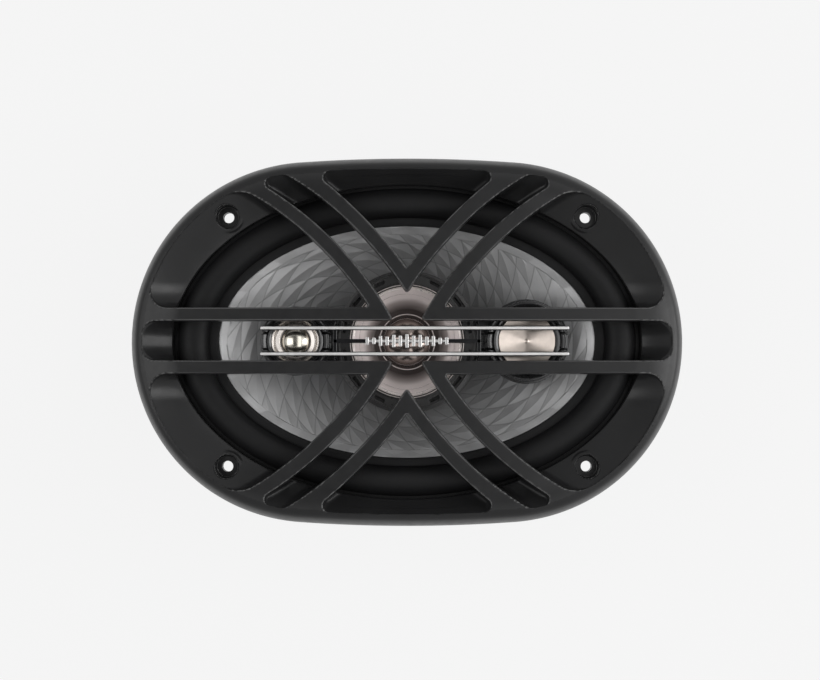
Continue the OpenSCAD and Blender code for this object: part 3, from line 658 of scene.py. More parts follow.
def moulded(name, color, roughness, grain=0.25, depth=0.02, coat=0.0, specular=0.5):
    """Moulded plastic: faint clouds in its colour, and a fine grain."""
    n = Nodes(name)
    n.bump(n.noise(grain, 2), 0.5, depth)
    return n.finish(Base_Color=n.clouds(18, color, 0.88, 1.12),
                    Roughness=n.spread(n.noise(3), roughness - 0.04, roughness + 0.04),
                    Coat_Weight=coat, Coat_Roughness=0.12, Specular_IOR_Level=specular)


def metal(name, color, roughness, grain=0.4, depth=0.01, metallic=1.0):
    """Plated or polished metal with faint marks."""
    n = Nodes(name)
    n.bump(n.noise(grain, 2), 0.35, depth)
    return n.finish(Base_Color=n.clouds(9, color, 0.92, 1.05), Metallic=metallic,
                    Roughness=n.spread(n.noise(2.5), roughness * 0.8, roughness * 1.25))


def turned_metal(name, color, roughness, pitch, depth):
    """Metal with the fine rings that a lathe leaves."""
    n = Nodes(name)
    n.bump(n.spread(n.waves(n.radius(), pitch), 0, 1, -1, 1), 1.0, depth)
    return n.finish(Base_Color=n.clouds(4, color, 0.95, 1.03), Metallic=1.0,
                    Roughness=n.spread(n.noise(1.2), roughness * 0.94, roughness * 1.06))


def brushed_dish(name, color, roughness):
    """Film brushed in circles, so that its highlights spread along the radius."""
    n = Nodes(name)
    n.bump(n.noise(0.5, 2), 0.3, 0.006)
    tangent = n.add("ShaderNodeTangent")
    tangent.direction_type = "RADIAL"
    tangent.axis = "Z"
    n.set(n.shader.inputs["Tangent"], tangent.outputs[0])
    return n.finish(Base_Color=n.clouds(2, color, 0.92, 1.04),
                    Roughness=n.spread(n.noise(1), roughness * 0.94, roughness * 1.06),
                    Metallic=1.0, Anisotropic=0.95, Anisotropic_Rotation=0.25)


def satin_film(name, color):
    """Silver-grey cone film, with painted shade along the creases between its facets."""
    n = Nodes(name)
    # Painted shade: the groove attribute darkens the creases between facets
    shade = n.mix(n.attribute("groove"), (1, 1, 1), (0.62, 0.62, 0.62))
    n.bump(n.noise(0.5, 2), 0.35, 0.01)
    return n.finish(Base_Color=n.mix(1.0, n.clouds(7, color, 0.94, 1.05), shade, "MULTIPLY"),
                    Roughness=n.spread(n.noise(1.5), 0.40, 0.46), Metallic=0.6)


def painted_shade_film(name, dark, color, roughness, metallic, bands):
    """Film with painted shade that darkens it toward its neck, and painted highlight lines at some radii."""
    n = Nodes(name)
    radius = n.radius()
    # Painted shade: inside 14.5 mm the film takes the dark colour
    share = n.spread(radius, 0, 1, 0.0145, 0.0195)
    # Painted highlights: bright lines at the given radii
    for at in bands:
        share = n.math("MAXIMUM", share, n.line_at(radius, at, 0.00015, 0.00030))
    n.bump(n.noise(3, 2), 0.3, 0.001)
    return n.finish(Base_Color=n.mix(share, dark, color), Metallic=metallic,
                    Roughness=n.spread(n.noise(1.2), roughness * 0.94, roughness * 1.06))


def ring_with_painted_groove_shade(name, color):
    """Ring that is bright metal at two radii and inside 24 mm; elsewhere it is painted black, as painted
    shade in its groove and on its outer wall.
    """
    n = Nodes(name)
    radius = n.radius()
    bands = [n.line_at(radius, at, 0.00020, 0.00024) for at in (25.05, 24.2)]
    inside = n.spread(radius, 1, 0, 0.02396, 0.02400)
    # Everything that is not bright is painted black as painted shade
    bright = n.math("MAXIMUM", inside, n.math("MAXIMUM", *bands))
    n.bump(n.noise(1.5, 2), 0.3, 0.003)
    return n.finish(Base_Color=n.mix(bright, (0.012, 0.011, 0.011), color),
                    Roughness=n.spread(n.noise(0.8), 0.26, 0.34), Metallic=n.spread(bright, 0, 0.5, 0, 1))


def cloth(name, color, roughness, pitch, depth):
    """Woven or felted stuff: crossed threads and a little fluff."""
    n = Nodes(name)
    x, y, _ = n.add("ShaderNodeSeparateXYZ", Vector=n.place).outputs
    threads = n.spread(n.math("MULTIPLY", n.waves(x, pitch), n.waves(y, pitch)), 0, 1, -1, 1)
    n.bump(threads, 0.8, depth)
    n.bump(n.noise(0.3), 0.4, depth / 2)
    return n.finish(Base_Color=n.mix(threads, tint(color, 0.75), tint(color, 1.1)),
                    Roughness=n.spread(n.noise(2), roughness - 0.06, roughness + 0.06),
                    Sheen_Weight=0.25, Sheen_Roughness=0.5)


# Each material: what makes it, its name, its colour and the rest of what the maker asks for
MATERIALS = {name: make(name, *rest) for make, name, *rest in (
    # grille_plastic's second colour is the painted highlight on its bars' edges
    (grained_shell, "grille_plastic", (0.018, 0.018, 0.0185), (0.16, 0.16, 0.16), 0.34),
    (moulded, "gloss_plastic", (0.012, 0.012, 0.013), 0.16, 0.8, 0.004, 0.6),
    (moulded, "housing_plastic", (0.016, 0.016, 0.017), 0.28, 0.5, 0.01, 0.4),
    (moulded, "ring_plastic", (0.05, 0.049, 0.049), 0.30, 0.3, 0.02),
    (moulded, "powder_coat", (0.018, 0.018, 0.019), 0.4, 0.45, 0.03, 0.1),
    (moulded, "rubber", (0.006, 0.006, 0.0065), 0.56, 0.5, 0.02, 0.0, 0.26),
    (moulded, "boot_rubber", (0.016, 0.016, 0.017), 0.6, 0.4, 0.03, 0.0, 0.3),
    (moulded, "foam", (0.01, 0.01, 0.01), 0.9, 0.5, 0.15, 0.0, 0.1),
    (satin_film, "cone_film", (0.52, 0.52, 0.524)),
    (metal, "satin_chrome", (0.90, 0.89, 0.88), 0.36, 1.0, 0.003, 0.4),
    (metal, "badge_chrome", (0.90, 0.89, 0.88), 0.25, 2.0, 0.002, 0.6),
    (cloth, "felt", (0.03, 0.03, 0.032), 0.9, 0.5, 0.08),
    (moulded, "former_film", (0.42, 0.24, 0.06), 0.3, 1.0, 0.01, 0.3),
    (metal, "copper", (0.75, 0.32, 0.12), 0.28),
    (cloth, "spider_cloth", (0.62, 0.36, 0.06), 0.7, 0.7, 0.12),
    (metal, "zinc", (0.62, 0.62, 0.64), 0.32, 1.2, 0.02),
    (moulded, "ferrite", (0.045, 0.045, 0.048), 0.5, 0.6, 0.05),
    (metal, "nickel", (0.72, 0.71, 0.68), 0.22),
    # rose_film: its dark colour is painted shade near the cone's neck, and 12.3 mm is a painted highlight
    # line
    (painted_shade_film, "rose_film", (0.05, 0.037, 0.034), (0.80, 0.71, 0.69), 0.38, 0.4, (12.3,)),
    (brushed_dish, "dish_film", (0.70, 0.62, 0.56), 0.36),
    (metal, "dome_film", (0.70, 0.66, 0.58), 0.20, 3.0, 0.002),
    # cap_film: the painted highlight line at 10.35 mm lies on the cap's rim
    (painted_shade_film, "cap_film", (0.42, 0.35, 0.32), (0.80, 0.72, 0.70), 0.17, 0.9, (10.35,)),
    (moulded, "sleeve", (0.02, 0.06, 0.16), 0.3, 1.5, 0.01, 0.3),
    (cloth, "phenolic", (0.22, 0.10, 0.035), 0.5, 0.9, 0.02),
    (metal, "tinned", (0.72, 0.70, 0.62), 0.3),
    (metal, "tinsel", (0.72, 0.45, 0.27), 0.35),
    (moulded, "wire", (0.02, 0.02, 0.02), 0.4, 1.0, 0.01),
    (moulded, "wire_red", (0.25, 0.02, 0.02), 0.4, 1.0, 0.01),
    (turned_metal, "turned_zinc", (0.60, 0.60, 0.62), 0.32, 0.7, 0.01),
    # mid_trim: painted black shade between and outside its bright crests
    (ring_with_painted_groove_shade, "mid_trim", (0.84, 0.77, 0.74)),
    (metal, "reflector_film", (0.56, 0.52, 0.49), 0.25, 1.5, 0.003),
)}


def add_object(name, data, material=None):
    obj = bpy.data.objects.new(name, data)
    bpy.context.scene.collection.objects.link(obj)
    if material:
        data.materials.append(material)
    return obj


def show(name, part, material, node, crease=35):
    """Shows a part in place of a CAD node, and on its body."""
    obj = add_object(name, make_mesh(name, *part, crease=crease), MATERIALS[material])
    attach(obj, frame["nodes"][node]["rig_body"])
    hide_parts(node)
    return obj


def show_bending(name, part, material, node, weights, crease=35):
    """Shows a part in place of a CAD node. Its weights are smoothed into a share that nothing uses, so it
    does not follow any body.
    """
    obj = add_object(name, make_mesh(name, *part, crease=crease), MATERIALS[material])
    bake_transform(obj)
    share = np.clip(weights, 0, 1)
    share = share * share * (3 - 2 * share)
    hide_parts(node)


def set_attribute(obj, name, values):
    """A number at each point of a mesh, which its material reads."""
    attribute = obj.data.attributes.new(name, "FLOAT", "POINT")
    attribute.data.foreach_set("value", values.astype(np.float32))


def cell(fine, coarse):
    return fine


# ---- Grille ------------------------------------------------------------------------------

# Room round the grille in the box that its net fills
NET_MARGIN = 1.3


def bar_top(s):
    """Height of the bars' upper faces at a distance s inside the grille's outline."""
    return BAR_TOP - 5.3 * (1 - np.clip((s - 3) / 19, 0, 1)) ** 1.7


def grille_inset(x, y):
    """How far points of the plan lie inside the grille's outline."""
    return -oval(x, y, GRILLE_A, GRILLE_B, GRILLE_END_R)


def grille_distance():
    """Signed distance from the grille, as a function of x, y and z."""
    air = distance_table(grille_outlines(), (GRILLE_A + 1, GRILLE_B + 1), 0.4)

    def f(x, y, z):
        s = grille_inset(x, y)
        e = ellipse(x, y, *APERTURE)
        out = np.maximum(e, 0)
        rise = np.clip(out / np.maximum(out + s - CREST_INSET, 1e-3), 0, 1.25)
        rise = np.where(s < CREST_INSET - 1.5, 1.25, rise)
        funnel = APERTURE_Z + (CREST_Z - APERTURE_Z) * rise ** 1.2
        steep = 1.2 * (CREST_Z - APERTURE_Z) * rise ** 0.2 / np.maximum(out + s - CREST_INSET, 2)
        away = np.abs(y)
        beside = np.where(away < BAR_IN, (away - 1) / (BAR_IN - 1), (BAR_OUT + SWEEP - away) / SWEEP)
        beside = np.clip(beside, 0, 1)
        funnel = funnel + SWEEP_RISE * beside ** 2.2
        steep = np.hypot(steep, 2.2 * SWEEP_RISE / SWEEP * beside ** 1.2)
        over = (z - funnel) / np.hypot(1, steep)
        floor = smax(over, z - CREST_Z, 0.6)
        floor = cut(floor, e, 0.6)
        side = air(x, y) - 0.07 * (BAR_TOP - z)
        depth = np.clip((CREST_Z - funnel) / 4, 0.12, 1)
        top = bar_top(s)
        solid = smax(smin(floor, side, 2.4 * depth), z - top, 0.4)
        wall = line(s, z, (0, 0), (1, 11))
        bevel = line(s, z, (1, 11), (4.4, 15.6))
        rim = smax(-wall, -bevel, 2.2)
        solid = smax(solid, rim, 0.6)
        below = smax(smax(over + 1.9, rim + 2.2, 0.8), z - top + 2.2, 0.8)
        void = smin(smax(e, z - BAR_BOTTOM, 0.3), below, 0.5)
        solid = cut(solid, void, 0.45)
        r = np.hypot(np.abs(x) - SCREW_X, np.abs(y) - SCREW_Y)
        boss = smax(r - BOSS_R, slab(z, 3.9, BOSS_TOP), 0.7)
        foot = smax(r - BOSS_FOOT_R, slab(z, FLANGE_T + 0.1, 5.6), 0.4)
        solid = smin(smin(solid, boss, 0.8), foot, 0.3)
        bore = smin(r - SCREW_R, smax(r - COUNTERBORE_R, COUNTERBORE_Z - z, 0.4), 0.1)
        return smax(cut(solid, bore, 0.35), -z, 0.15)

    return f


def build_grille():
    high = np.array((GRILLE_A, GRILLE_B, BAR_TOP)) + NET_MARGIN
    low = (-high[0], -high[1], -NET_MARGIN)
    net = surface_net(grille_distance(), low, high, cell(0.62, 1.0))
    (x, y, z), up = net[0].T, net[2][:, 2]
    s = grille_inset(x, y)
    # Painted highlight mask: 1 on the bars' rounded top edges, 0 elsewhere
    edge = np.clip(1 - np.abs(bar_top(s) - z - 0.2) / 0.4, 0, 1) * (s > CREST_INSET + 1)
    edge = edge * np.clip((0.95 - up) / 0.15, 0, 1) * np.clip(up / 0.2, 0, 1)
    grille = show("grille_moulding", net, "grille_plastic", "grille")
    set_attribute(grille, "edge", edge)


# ---- Woofer ------------------------------------------------------------------------------

def build_surround():
    sides = 288
    t = np.linspace(0, np.pi, 25)
    s = (1 - np.cos(t)) / 2
    low, high = FLANGE_T + RUBBER_T, CONE_LIP_Z + RUBBER_T

    def roll(h, extra):
        spread = extra * np.cos(t)
        return [(ROLL_OUT[0] * (1 - k) + ROLL_IN[0] * k + d, ROLL_OUT[1] * (1 - k) + ROLL_IN[1] * k + d,
                 low + (high - low) * k + h * math.sin(a)) for a, k, d in zip(t, s, spread)]

    outer = roll(ROLL_H, 0)
    under = roll(ROLL_H - RUBBER_T, -RUBBER_T)
    inner = [(a, b, z - 0.3 - 0.4 * abs(math.cos(u)) ** 6) for (a, b, z), u in zip(under, t)]
    rows = [(LIP[0] - 0.2, LIP[1] - 0.2, FLANGE_T), (LIP[0], LIP[1], FLANGE_T + 0.2),
            (LIP[0], LIP[1], low - 0.2), (LIP[0] - 0.2, LIP[1] - 0.2, low),
            (LIP[0] - 2.4, LIP[1] - 2.1, low), *outer,
            (CONE_A + 2.0, CONE_B + 1.9, high), (CONE_A + 0.25, CONE_B + 0.25, high),
            (CONE_A, CONE_B, high - 0.2), (CONE_A, CONE_B, CONE_LIP_Z),
            (CONE_A + 2.0, CONE_B + 1.9, CONE_LIP_Z), *reversed(inner),
            (LIP[0] - 2.4, LIP[1] - 2.1, FLANGE_T)]
    points, quads = ring_sweep(rows, sides)
    a = np.array(rows)[:, 0]
    weights = np.repeat((ROLL_OUT[0] - a) / (ROLL_OUT[0] - ROLL_IN[0]), sides)
    show_bending("woofer_surround", (points, quads), "rubber", "surround", weights,
                 crease=50)


def cone_height(x, y):
    """Height of the cone's front at points of the plan."""
    low, high = np.zeros(np.shape(x)), np.full(np.shape(x), 1.4)
    for _ in range(36):
        u = (low + high) / 2
        outside = np.hypot(x / (NECK_R + (CONE_A - NECK_R) * u), y / (NECK_R + (CONE_B - NECK_R) * u)) > 1
        low, high = np.where(outside, u, low), np.where(outside, high, u)
    return NECK_Z + CONE_DEPTH * u ** CONE_CURVE


# The cone's facets: rings of cells between spirals, with a ridge along each cell's long diagonal
SPIRALS = 30
SPIRAL_PITCH = 0.87
SPIRAL_START = 3.4
SPIRAL_AT = 53.0
RING_FIRST = 38.2
RING_PITCH = 6.4
RING_LONG = 1.06
FACET_H = 0.30
BAND_W = 3.3


def spiral_angle(cell, r):
    """Plan angle of a spiral where it passes radius r."""
    return np.radians(SPIRAL_START + 360 / SPIRALS * cell) + np.radians((r - SPIRAL_AT) / SPIRAL_PITCH)


def build_cone():
    share = np.array([0, 0.045, 0.2, 0.4, 0.6, 0.8, 0.955])
    m = len(share)
    cols = (np.arange(SPIRALS)[:, None] + share).ravel()
    rings = (np.arange(-2, 7)[:, None] + share).ravel()
    low, high = np.full(len(cols), 20.0), np.full(len(cols), 95.0)
    for _ in range(40):
        r_end = (low + high) / 2
        a = spiral_angle(cols, r_end)
        out = ellipse(r_end * np.cos(a), r_end * np.sin(a), CONE_A - BAND_W, CONE_B - BAND_W) > 0
        low, high = np.where(out, low, r_end), np.where(out, r_end, high)
    size = RING_FIRST + RING_PITCH * rings[:, None] + 0 * cols
    r = size
    for _ in range(12):
        a = spiral_angle(cols, r)
        r = size / np.hypot(np.cos(a) / RING_LONG, np.sin(a))
    clipped = r >= r_end
    r = np.minimum(r, r_end)
    a = spiral_angle(cols, r)
    x, y = r * np.cos(a), r * np.sin(a)
    q_all = (np.hypot(x / RING_LONG, y) - RING_FIRST) / RING_PITCH
    q = np.where(clipped, q_all - np.floor(q_all + 1e-6), (rings - np.floor(rings + 1e-6))[:, None])
    p = np.broadcast_to(cols - np.floor(cols + 1e-6), q.shape)
    height = 4 * FACET_H * np.minimum(p, q) * (1 - np.maximum(p, q))
    # Creases at the cells' borders, which get painted shade
    groove = np.minimum(np.minimum(p, 1 - p), np.minimum(q, 1 - q)) < 0.01
    height = np.where(clipped, height * 0.6, height)
    z = cone_height(x, y)
    d = 0.05
    nx = (cone_height(x - d, y) - cone_height(x + d, y)) / (2 * d)
    ny = (cone_height(x, y - d) - cone_height(x, y + d)) / (2 * d)
    n = np.sqrt(nx ** 2 + ny ** 2 + 1)
    facets = np.stack([x + nx / n * height, y + ny / n * height, z + height / n], -1)

    def ring_row(scale_a, scale_b, z, angle):
        r = 1 / np.hypot(np.cos(angle) / scale_a, np.sin(angle) / scale_b)
        return np.stack([r * np.cos(angle), r * np.sin(angle), np.broadcast_to(z, r.shape)], -1)

    def at_u(u, angle, drop):
        row = ring_row(NECK_R + (CONE_A - NECK_R) * u, NECK_R + (CONE_B - NECK_R) * u, 0, angle)
        row[:, 2] = NECK_Z + CONE_DEPTH * u ** CONE_CURVE - drop
        return row

    inner, outer = a[0], a[-1]
    lip = (ROLL_IN[0] - 0.3, ROLL_IN[1] - 0.3)
    bore = FORMER_R + 0.06
    neck = [ring_row(bore, bore, z, inner) for z in (NECK_Z - 2.2, NECK_Z)]
    neck += [at_u(u, inner, 0) for u in (0, 0.02, 0.06)]
    edge = [ring_row(CONE_A - BAND_W, CONE_B - BAND_W, CONE_LIP_Z - 2.2, outer),
            ring_row(CONE_A - 0.4, CONE_B - 0.4, CONE_LIP_Z - 0.7, outer),
            ring_row(CONE_A + 0.4, CONE_B + 0.4, CONE_LIP_Z, outer),
            ring_row(*lip, CONE_LIP_Z, outer), ring_row(*lip, CONE_LIP_Z - 0.8, outer)]
    turn = np.linspace(1, 0, 18)
    back = [at_u(max(k, 0.02), inner + (outer - inner) * k, 1.0) for k in turn]
    back.append(ring_row(NECK_R, NECK_R, NECK_Z - 2.2, inner))
    rows = np.concatenate([np.array(neck), facets, np.array(edge), np.array(back)])
    index = np.arange(rows.shape[0] * rows.shape[1]).reshape(rows.shape[:2])
    first = len(neck)
    for j in range(first + 1, first + len(rings)):
        stay = clipped[j - first] & clipped[j - first - 1]
        index[j, stay] = index[j - 1, stay]
    quads = grid_quads(index)
    triangles = np.concatenate([quads[:, [0, 1, 2]], quads[:, [0, 2, 3]]])
    same = triangles == np.roll(triangles, -1, 1)
    triangles = triangles[~same.any(1)]
    used, packed = np.unique(triangles, return_inverse=True)
    shell = rows.reshape(-1, 3)[used], packed.reshape(-1, 3)
    band = cone_band()
    points = np.concatenate([shell[0], band[0]])
    part = points, [shell[1], band[1] + len(shell[0])]
    cone = show("woofer_cone_moulding", part, "cone_film", "woofer_cone", crease=5)
    # Painted shade along the creases, which the cone's material reads as the groove attribute
    crease_shade = np.zeros(rows.shape[:2])
    crease_shade[first:first + len(rings)] = groove
    set_attribute(cone, "groove", np.concatenate([crease_shade.ravel()[used], np.zeros(len(band[0]))]))


# Blocks round the cone's edge: how many, the first one's angle in degrees, and how far they tilt
BLOCKS, BLOCK_START, BLOCK_TILT = 50, 26.0, 0.22


def cone_band():
    """The plain edge of the cone: flat blocks tilted to and fro, just above the ends of the facets."""
    share = np.array([0, 0.02, 0.5, 0.98])
    steps = (np.arange(BLOCKS)[:, None] + share).ravel()
    a = np.radians(BLOCK_START + 360 / BLOCKS * steps)
    wave = np.abs(steps % 2 - 1) * 2 - 1
    rows = []
    for inset, lift, tilt in ((BAND_W + 0.15, -0.5, 0), (BAND_W + 0.15, 0.18, 0.3), (BAND_W - 0.15, 0.3, 1),
                              (0.5, 0.3, 1), (0.1, 0.2, 0.5), (0.1, -0.5, 0)):
        r = 1 / np.hypot(np.cos(a) / (CONE_A - inset), np.sin(a) / (CONE_B - inset))
        x, y = r * np.cos(a), r * np.sin(a)
        rows.append(np.stack([x, y, cone_height(x, y) + lift + BLOCK_TILT * tilt * wave], -1))
    rows = np.array(rows)
    index = np.arange(rows.shape[0] * rows.shape[1]).reshape(rows.shape[:2])
    return rows.reshape(-1, 3), grid_quads(index)


# ---- Basket and gasket -------------------------------------------------------------------

# Directions of the six arms, in pairs, and how far the flange stays inside the grille's outline
ARM_ANGLES = (35, 90, 145)
FLANGE_INSET = 3.2
TAB = ((-14.5, -71.5), (14.5, -53.0))
RIVET_X, RIVET_Y = 12.4, -67.5
TERMINAL_X, TERMINAL_Y = 7.5, -61.5


def basket_distance():
    """Signed distance from the stamped basket: flange, sloping wall with windows, shelf, cup and tab."""
    outer = ((SHELF_Z - 1.3, 54.6, 54.6), (-13.8, 101.6, 68.2), (-10.5, 104.0, 70.6), (0.75, 104.9, 71.5))
    inner = ((SHELF_Z - 0.2, 52.2, 52.2), (-12.2, 99.6, 66.2), (-10.5, 101.6, 68.2), (0.75, 102.6, 69.2))
    # Cone that cuts the windows' upper edges square to the wall
    upper_edge = ((-40, 108.4, 90.8), (-8, 92.4, 35.6))

    def wall(stations, x, y, z):
        """Distance from a cone of ellipses, given as (height, half length, half width)."""
        zs, aa, bb = np.array(stations).T
        a, b = np.interp(z, zs, aa), np.interp(z, zs, bb)
        d = 0.5
        slope_a = (np.interp(z + d, zs, aa) - np.interp(z - d, zs, aa)) / (2 * d)
        slope_b = (np.interp(z + d, zs, bb) - np.interp(z - d, zs, bb)) / (2 * d)
        u, v = (x / a) ** 2, (y / b) ** 2
        slope = (u * slope_a + v * slope_b) / np.maximum(u + v, 1e-9)
        return ellipse(x, y, a, b) / np.hypot(1, slope)

    def f(x, y, z):
        r = np.hypot(x, y)
        arms = [np.abs(x * np.sin(a) - y * np.cos(a)) for a in np.radians(ARM_ANGLES)]
        arm = np.minimum(np.minimum(arms[0], arms[1]), arms[2])
        window = smax(smax(wall(upper_edge, x, y, z), SHELF_R + 2.6 - r, 4), ARM_W / 2 - arm, 4)
        lip = 0.6 * np.clip(1 - window / 2.4, 0, 1) ** 2
        bead = 1.1 * np.clip(1.4 - arm / 1.6, 0, 1) * np.clip((r - 58) / 4, 0, 1)
        bead = bead * np.clip((-11 - z) / 3, 0, 1)
        sheet = smax(wall(outer, x, y, z) - lip - bead, -wall(inner, x, y, z) - bead, 0.3)
        sheet = smax(sheet, slab(z, SHELF_Z - 1.5, 1.4), 0.2)
        outline = oval(x, y, *(size - FLANGE_INSET for size in (GRILLE_A, GRILLE_B, GRILLE_END_R)))
        flange = smax(outline, slab(z, 0, FLANGE_T), 0.3)
        flange = cut(flange, ellipse(x, y, 103.2, 69.8), 0.3)
        hole = np.hypot(np.abs(x) - SCREW_X, np.abs(y) - SCREW_Y) - SCREW_R
        window = smax(window, slab(z, -34, -10), 1)
        body = smin(cut(sheet, window, 0.5), cut(flange, hole, 0.3), 1.2)
        shelf = smax(slab(z, SHELF_Z - FLANGE_T, SHELF_Z), slab(r, CUP_R - FLANGE_T, SHELF_R), 0.3)
        cup = smax(slab(r, CUP_R - FLANGE_T, CUP_R), slab(z, PLATE_Z - FLANGE_T, SHELF_Z), 0.3)
        plate = smax(slab(z, PLATE_Z - FLANGE_T, PLATE_Z), slab(r, 22, CUP_R), 0.3)
        (x0, y0), (x1, y1) = TAB
        tab = smax(smax(slab(x, x0, x1), slab(y, y0, y1), 2), slab(z, SHELF_Z - FLANGE_T, SHELF_Z), 0.3)
        leads = np.hypot(np.abs(x) - TERMINAL_X, y - TERMINAL_Y) - 2.8
        rivets = np.hypot(np.abs(x) - RIVET_X, y - RIVET_Y) - 1.05
        tab = cut(cut(tab, leads, 0.2), rivets, 0.2)
        turn = np.arctan2(y, x) % np.radians(30) - np.radians(15)
        vent = smax(np.hypot(r * np.sin(turn), z + 40) - 2.6, 42 - r, 0.3)
        pan = smin(cut(smin(shelf, cup, 1.5), vent, 0.3), plate, 1.5)
        return smin(smin(body, pan, 0.8), tab, 0.5)

    return f


def build_basket():
    low = (-GRILLE_A, -GRILLE_B, PLATE_Z - 3)
    net = surface_net(basket_distance(), low, (GRILLE_A, GRILLE_B, 3), cell(0.75, 1.6))
    show("basket_stamping", net, "powder_coat", "basket")
    a, b, low = ROLL_OUT[0] + 1.5, ROLL_OUT[1] + 1.5, FLANGE_T + RUBBER_T
    high = low + 1.2
    rows = [(a, b, low), (LIP[0] - 0.2, LIP[1] - 0.2, low), (LIP[0], LIP[1], low + 0.3),
            (LIP[0], LIP[1], high - 0.4), (LIP[0] - 0.4, LIP[1] - 0.4, high), (a + 0.4, b + 0.4, high),
            (a, b, high - 0.4)]
    show("foam_gasket", ring_sweep(rows), "foam", "frame_gasket", crease=60)


# ---- Motor -------------------------------------------------------------------------------

def box_profile(inner, outer, low, high, fillet):
    """Profile of a plain ring."""
    return [(inner, low, fillet), (outer, low, fillet), (outer, high, fillet), (inner, high, fillet)]


def show_turned(name, profile, material, node, x=0.0, closed=True, sides=128):
    show(name, lathe(profile, x, sides, closed), material, node)


def boot_distance(x, y, z):
    """Rubber boot round the magnet's back, slit for the feed wires, with grooves in its face and side."""
    r = np.hypot(x, y)
    outer = smax(r - MAGNET_R, BOOT_Z - z, 1.6)
    body = smax(outer, z - MAGNET_Z, 0.4)
    for low in (YOKE_Z - 0.4, YOKE_Z + 1.8, YOKE_Z + 4.0):
        body = cut(body, smax(MAGNET_R - 0.45 - r, slab(z, low, low + 1.0), 0.1), 0.2)
    body = cut(body, smax(r - PLATE_R - 0.4, YOKE_Z - z, 0.3), 0.4)
    for inner in (14, 26):
        body = cut(body, smax(slab(r, inner, inner + 2), z - BOOT_Z - 0.5, 0.1), 0.25)
    slit = smax(slab(x, -2.4, 2.4), slab(y, -60, 1.2), 2)
    return cut(body, slit, 0.3)


NUT_AF, NUT_Z = 14.0, (-75.0, -71.8)
POST_R, POST_BORE_R = 5.0, 3.0


def nut_distance(x, y, z):
    """Hexagon nut with chamfered corners."""
    r = np.hypot(x, y)
    sides = np.abs(x)
    for a in np.radians((60, 120)):
        sides = np.maximum(sides, np.abs(x * np.cos(a) + y * np.sin(a)))
    middle_z = sum(NUT_Z) / 2
    body = smax(sides - NUT_AF / 2, slab(z, *NUT_Z), 0.2)
    cone = (r - 7.4) * 0.5 + (np.abs(z - middle_z) - 1.6 + 0.45) * 0.87
    return smax(smax(body, cone, 0.15), POST_R + 0.02 - r, 0.2)


SCREW_HEAD_R, SCREW_SHANK_R, PLATE_SCREW_AT = 3.3, 1.65, 33.0


def plate_screw_distance(x, y, z):
    """Pan-head screw with a cross recess."""
    r = np.hypot(x, y)
    head = smax(r - SCREW_HEAD_R, slab(z, PLATE_Z + 0.02, PLATE_Z + 1.82), 0.8)
    shank = smax(r - SCREW_SHANK_R, slab(z, TOP_PLATE_Z + 1.5, PLATE_Z + 0.5), 0.3)
    u, v = np.abs(x), np.abs(y)
    cross = np.minimum(smax(u - 1.8, v - 0.35, 0.1), smax(v - 1.8, u - 0.35, 0.1))
    return cut(smin(head, shank, 0.2), smax(cross, PLATE_Z + 0.9 - z, 0.1), 0.1)


def build_motor():
    top, pole_top = PLATE_Z - FLANGE_T, PLATE_Z - 0.8
    show_turned("top_plate_turned", box_profile(16.9, PLATE_R, TOP_PLATE_Z, top, 0.5), "turned_zinc",
                "top_plate")
    show_turned("magnet_ring", box_profile(24, MAGNET_R, MAGNET_Z, TOP_PLATE_Z, 1.1), "ferrite",
                "magnet")
    recess = YOKE_Z + 3.7
    yoke = [(9, YOKE_Z, 0.4), (PLATE_R, YOKE_Z, 0.8), (PLATE_R, MAGNET_Z, 0.4), (POLE_R, MAGNET_Z, 0.5),
            (POLE_R, pole_top, 0.6), (POST_R + 0.05, pole_top, 0.4), (POST_R + 0.05, recess, 0.1),
            (9, recess, 0.3)]
    show_turned("yoke_and_pole", yoke, "turned_zinc", "pole_yoke")
    low, high = (-MAGNET_R - 2, -MAGNET_R - 2, BOOT_Z - 2), (MAGNET_R + 2, MAGNET_R + 2, MAGNET_Z + 2)
    net = surface_net(boot_distance, low, high, cell(0.6, 1.0))
    show("rubber_boot", net, "boot_rubber", "magnet_boot")
    post_low, post_high = YOKE_Z + 0.6, -16.0
    thread = []
    for k in range(6):
        z = post_low + 0.5 + 0.6 * k
        thread += [(POST_R - 0.02, z, 0.05), (POST_R - 0.35, z + 0.3, 0.05)]
    post = [(POST_BORE_R, post_low, 0.2), (POST_R - 0.35, post_low, 0.1), *thread,
            (POST_R, post_low + 4.4, 0.1), (POST_R, post_high - 2, 0.6), (9, post_high - 2, 0.4),
            (9, post_high, 0.4), (POST_BORE_R, post_high, 0.2)]
    show_turned("hollow_post", post, "zinc", "bridge_post")
    net = surface_net(nut_distance, (-9, -9, NUT_Z[0] - 1), (9, 9, NUT_Z[1] + 1), 0.25)
    show("hexagon_nut", net, "zinc", "post_nut")
    net = surface_net(plate_screw_distance, (-4, -4, TOP_PLATE_Z + 1), (4, 4, PLATE_Z + 2.5), 0.2)
    screw = moved(net, (PLATE_SCREW_AT, 0, 0))
    screws = joined([turned_about_z(screw, a) for a in (45, 135, 225, 315)])
    show("plate_screw_set", screws, "zinc", "plate_screws")


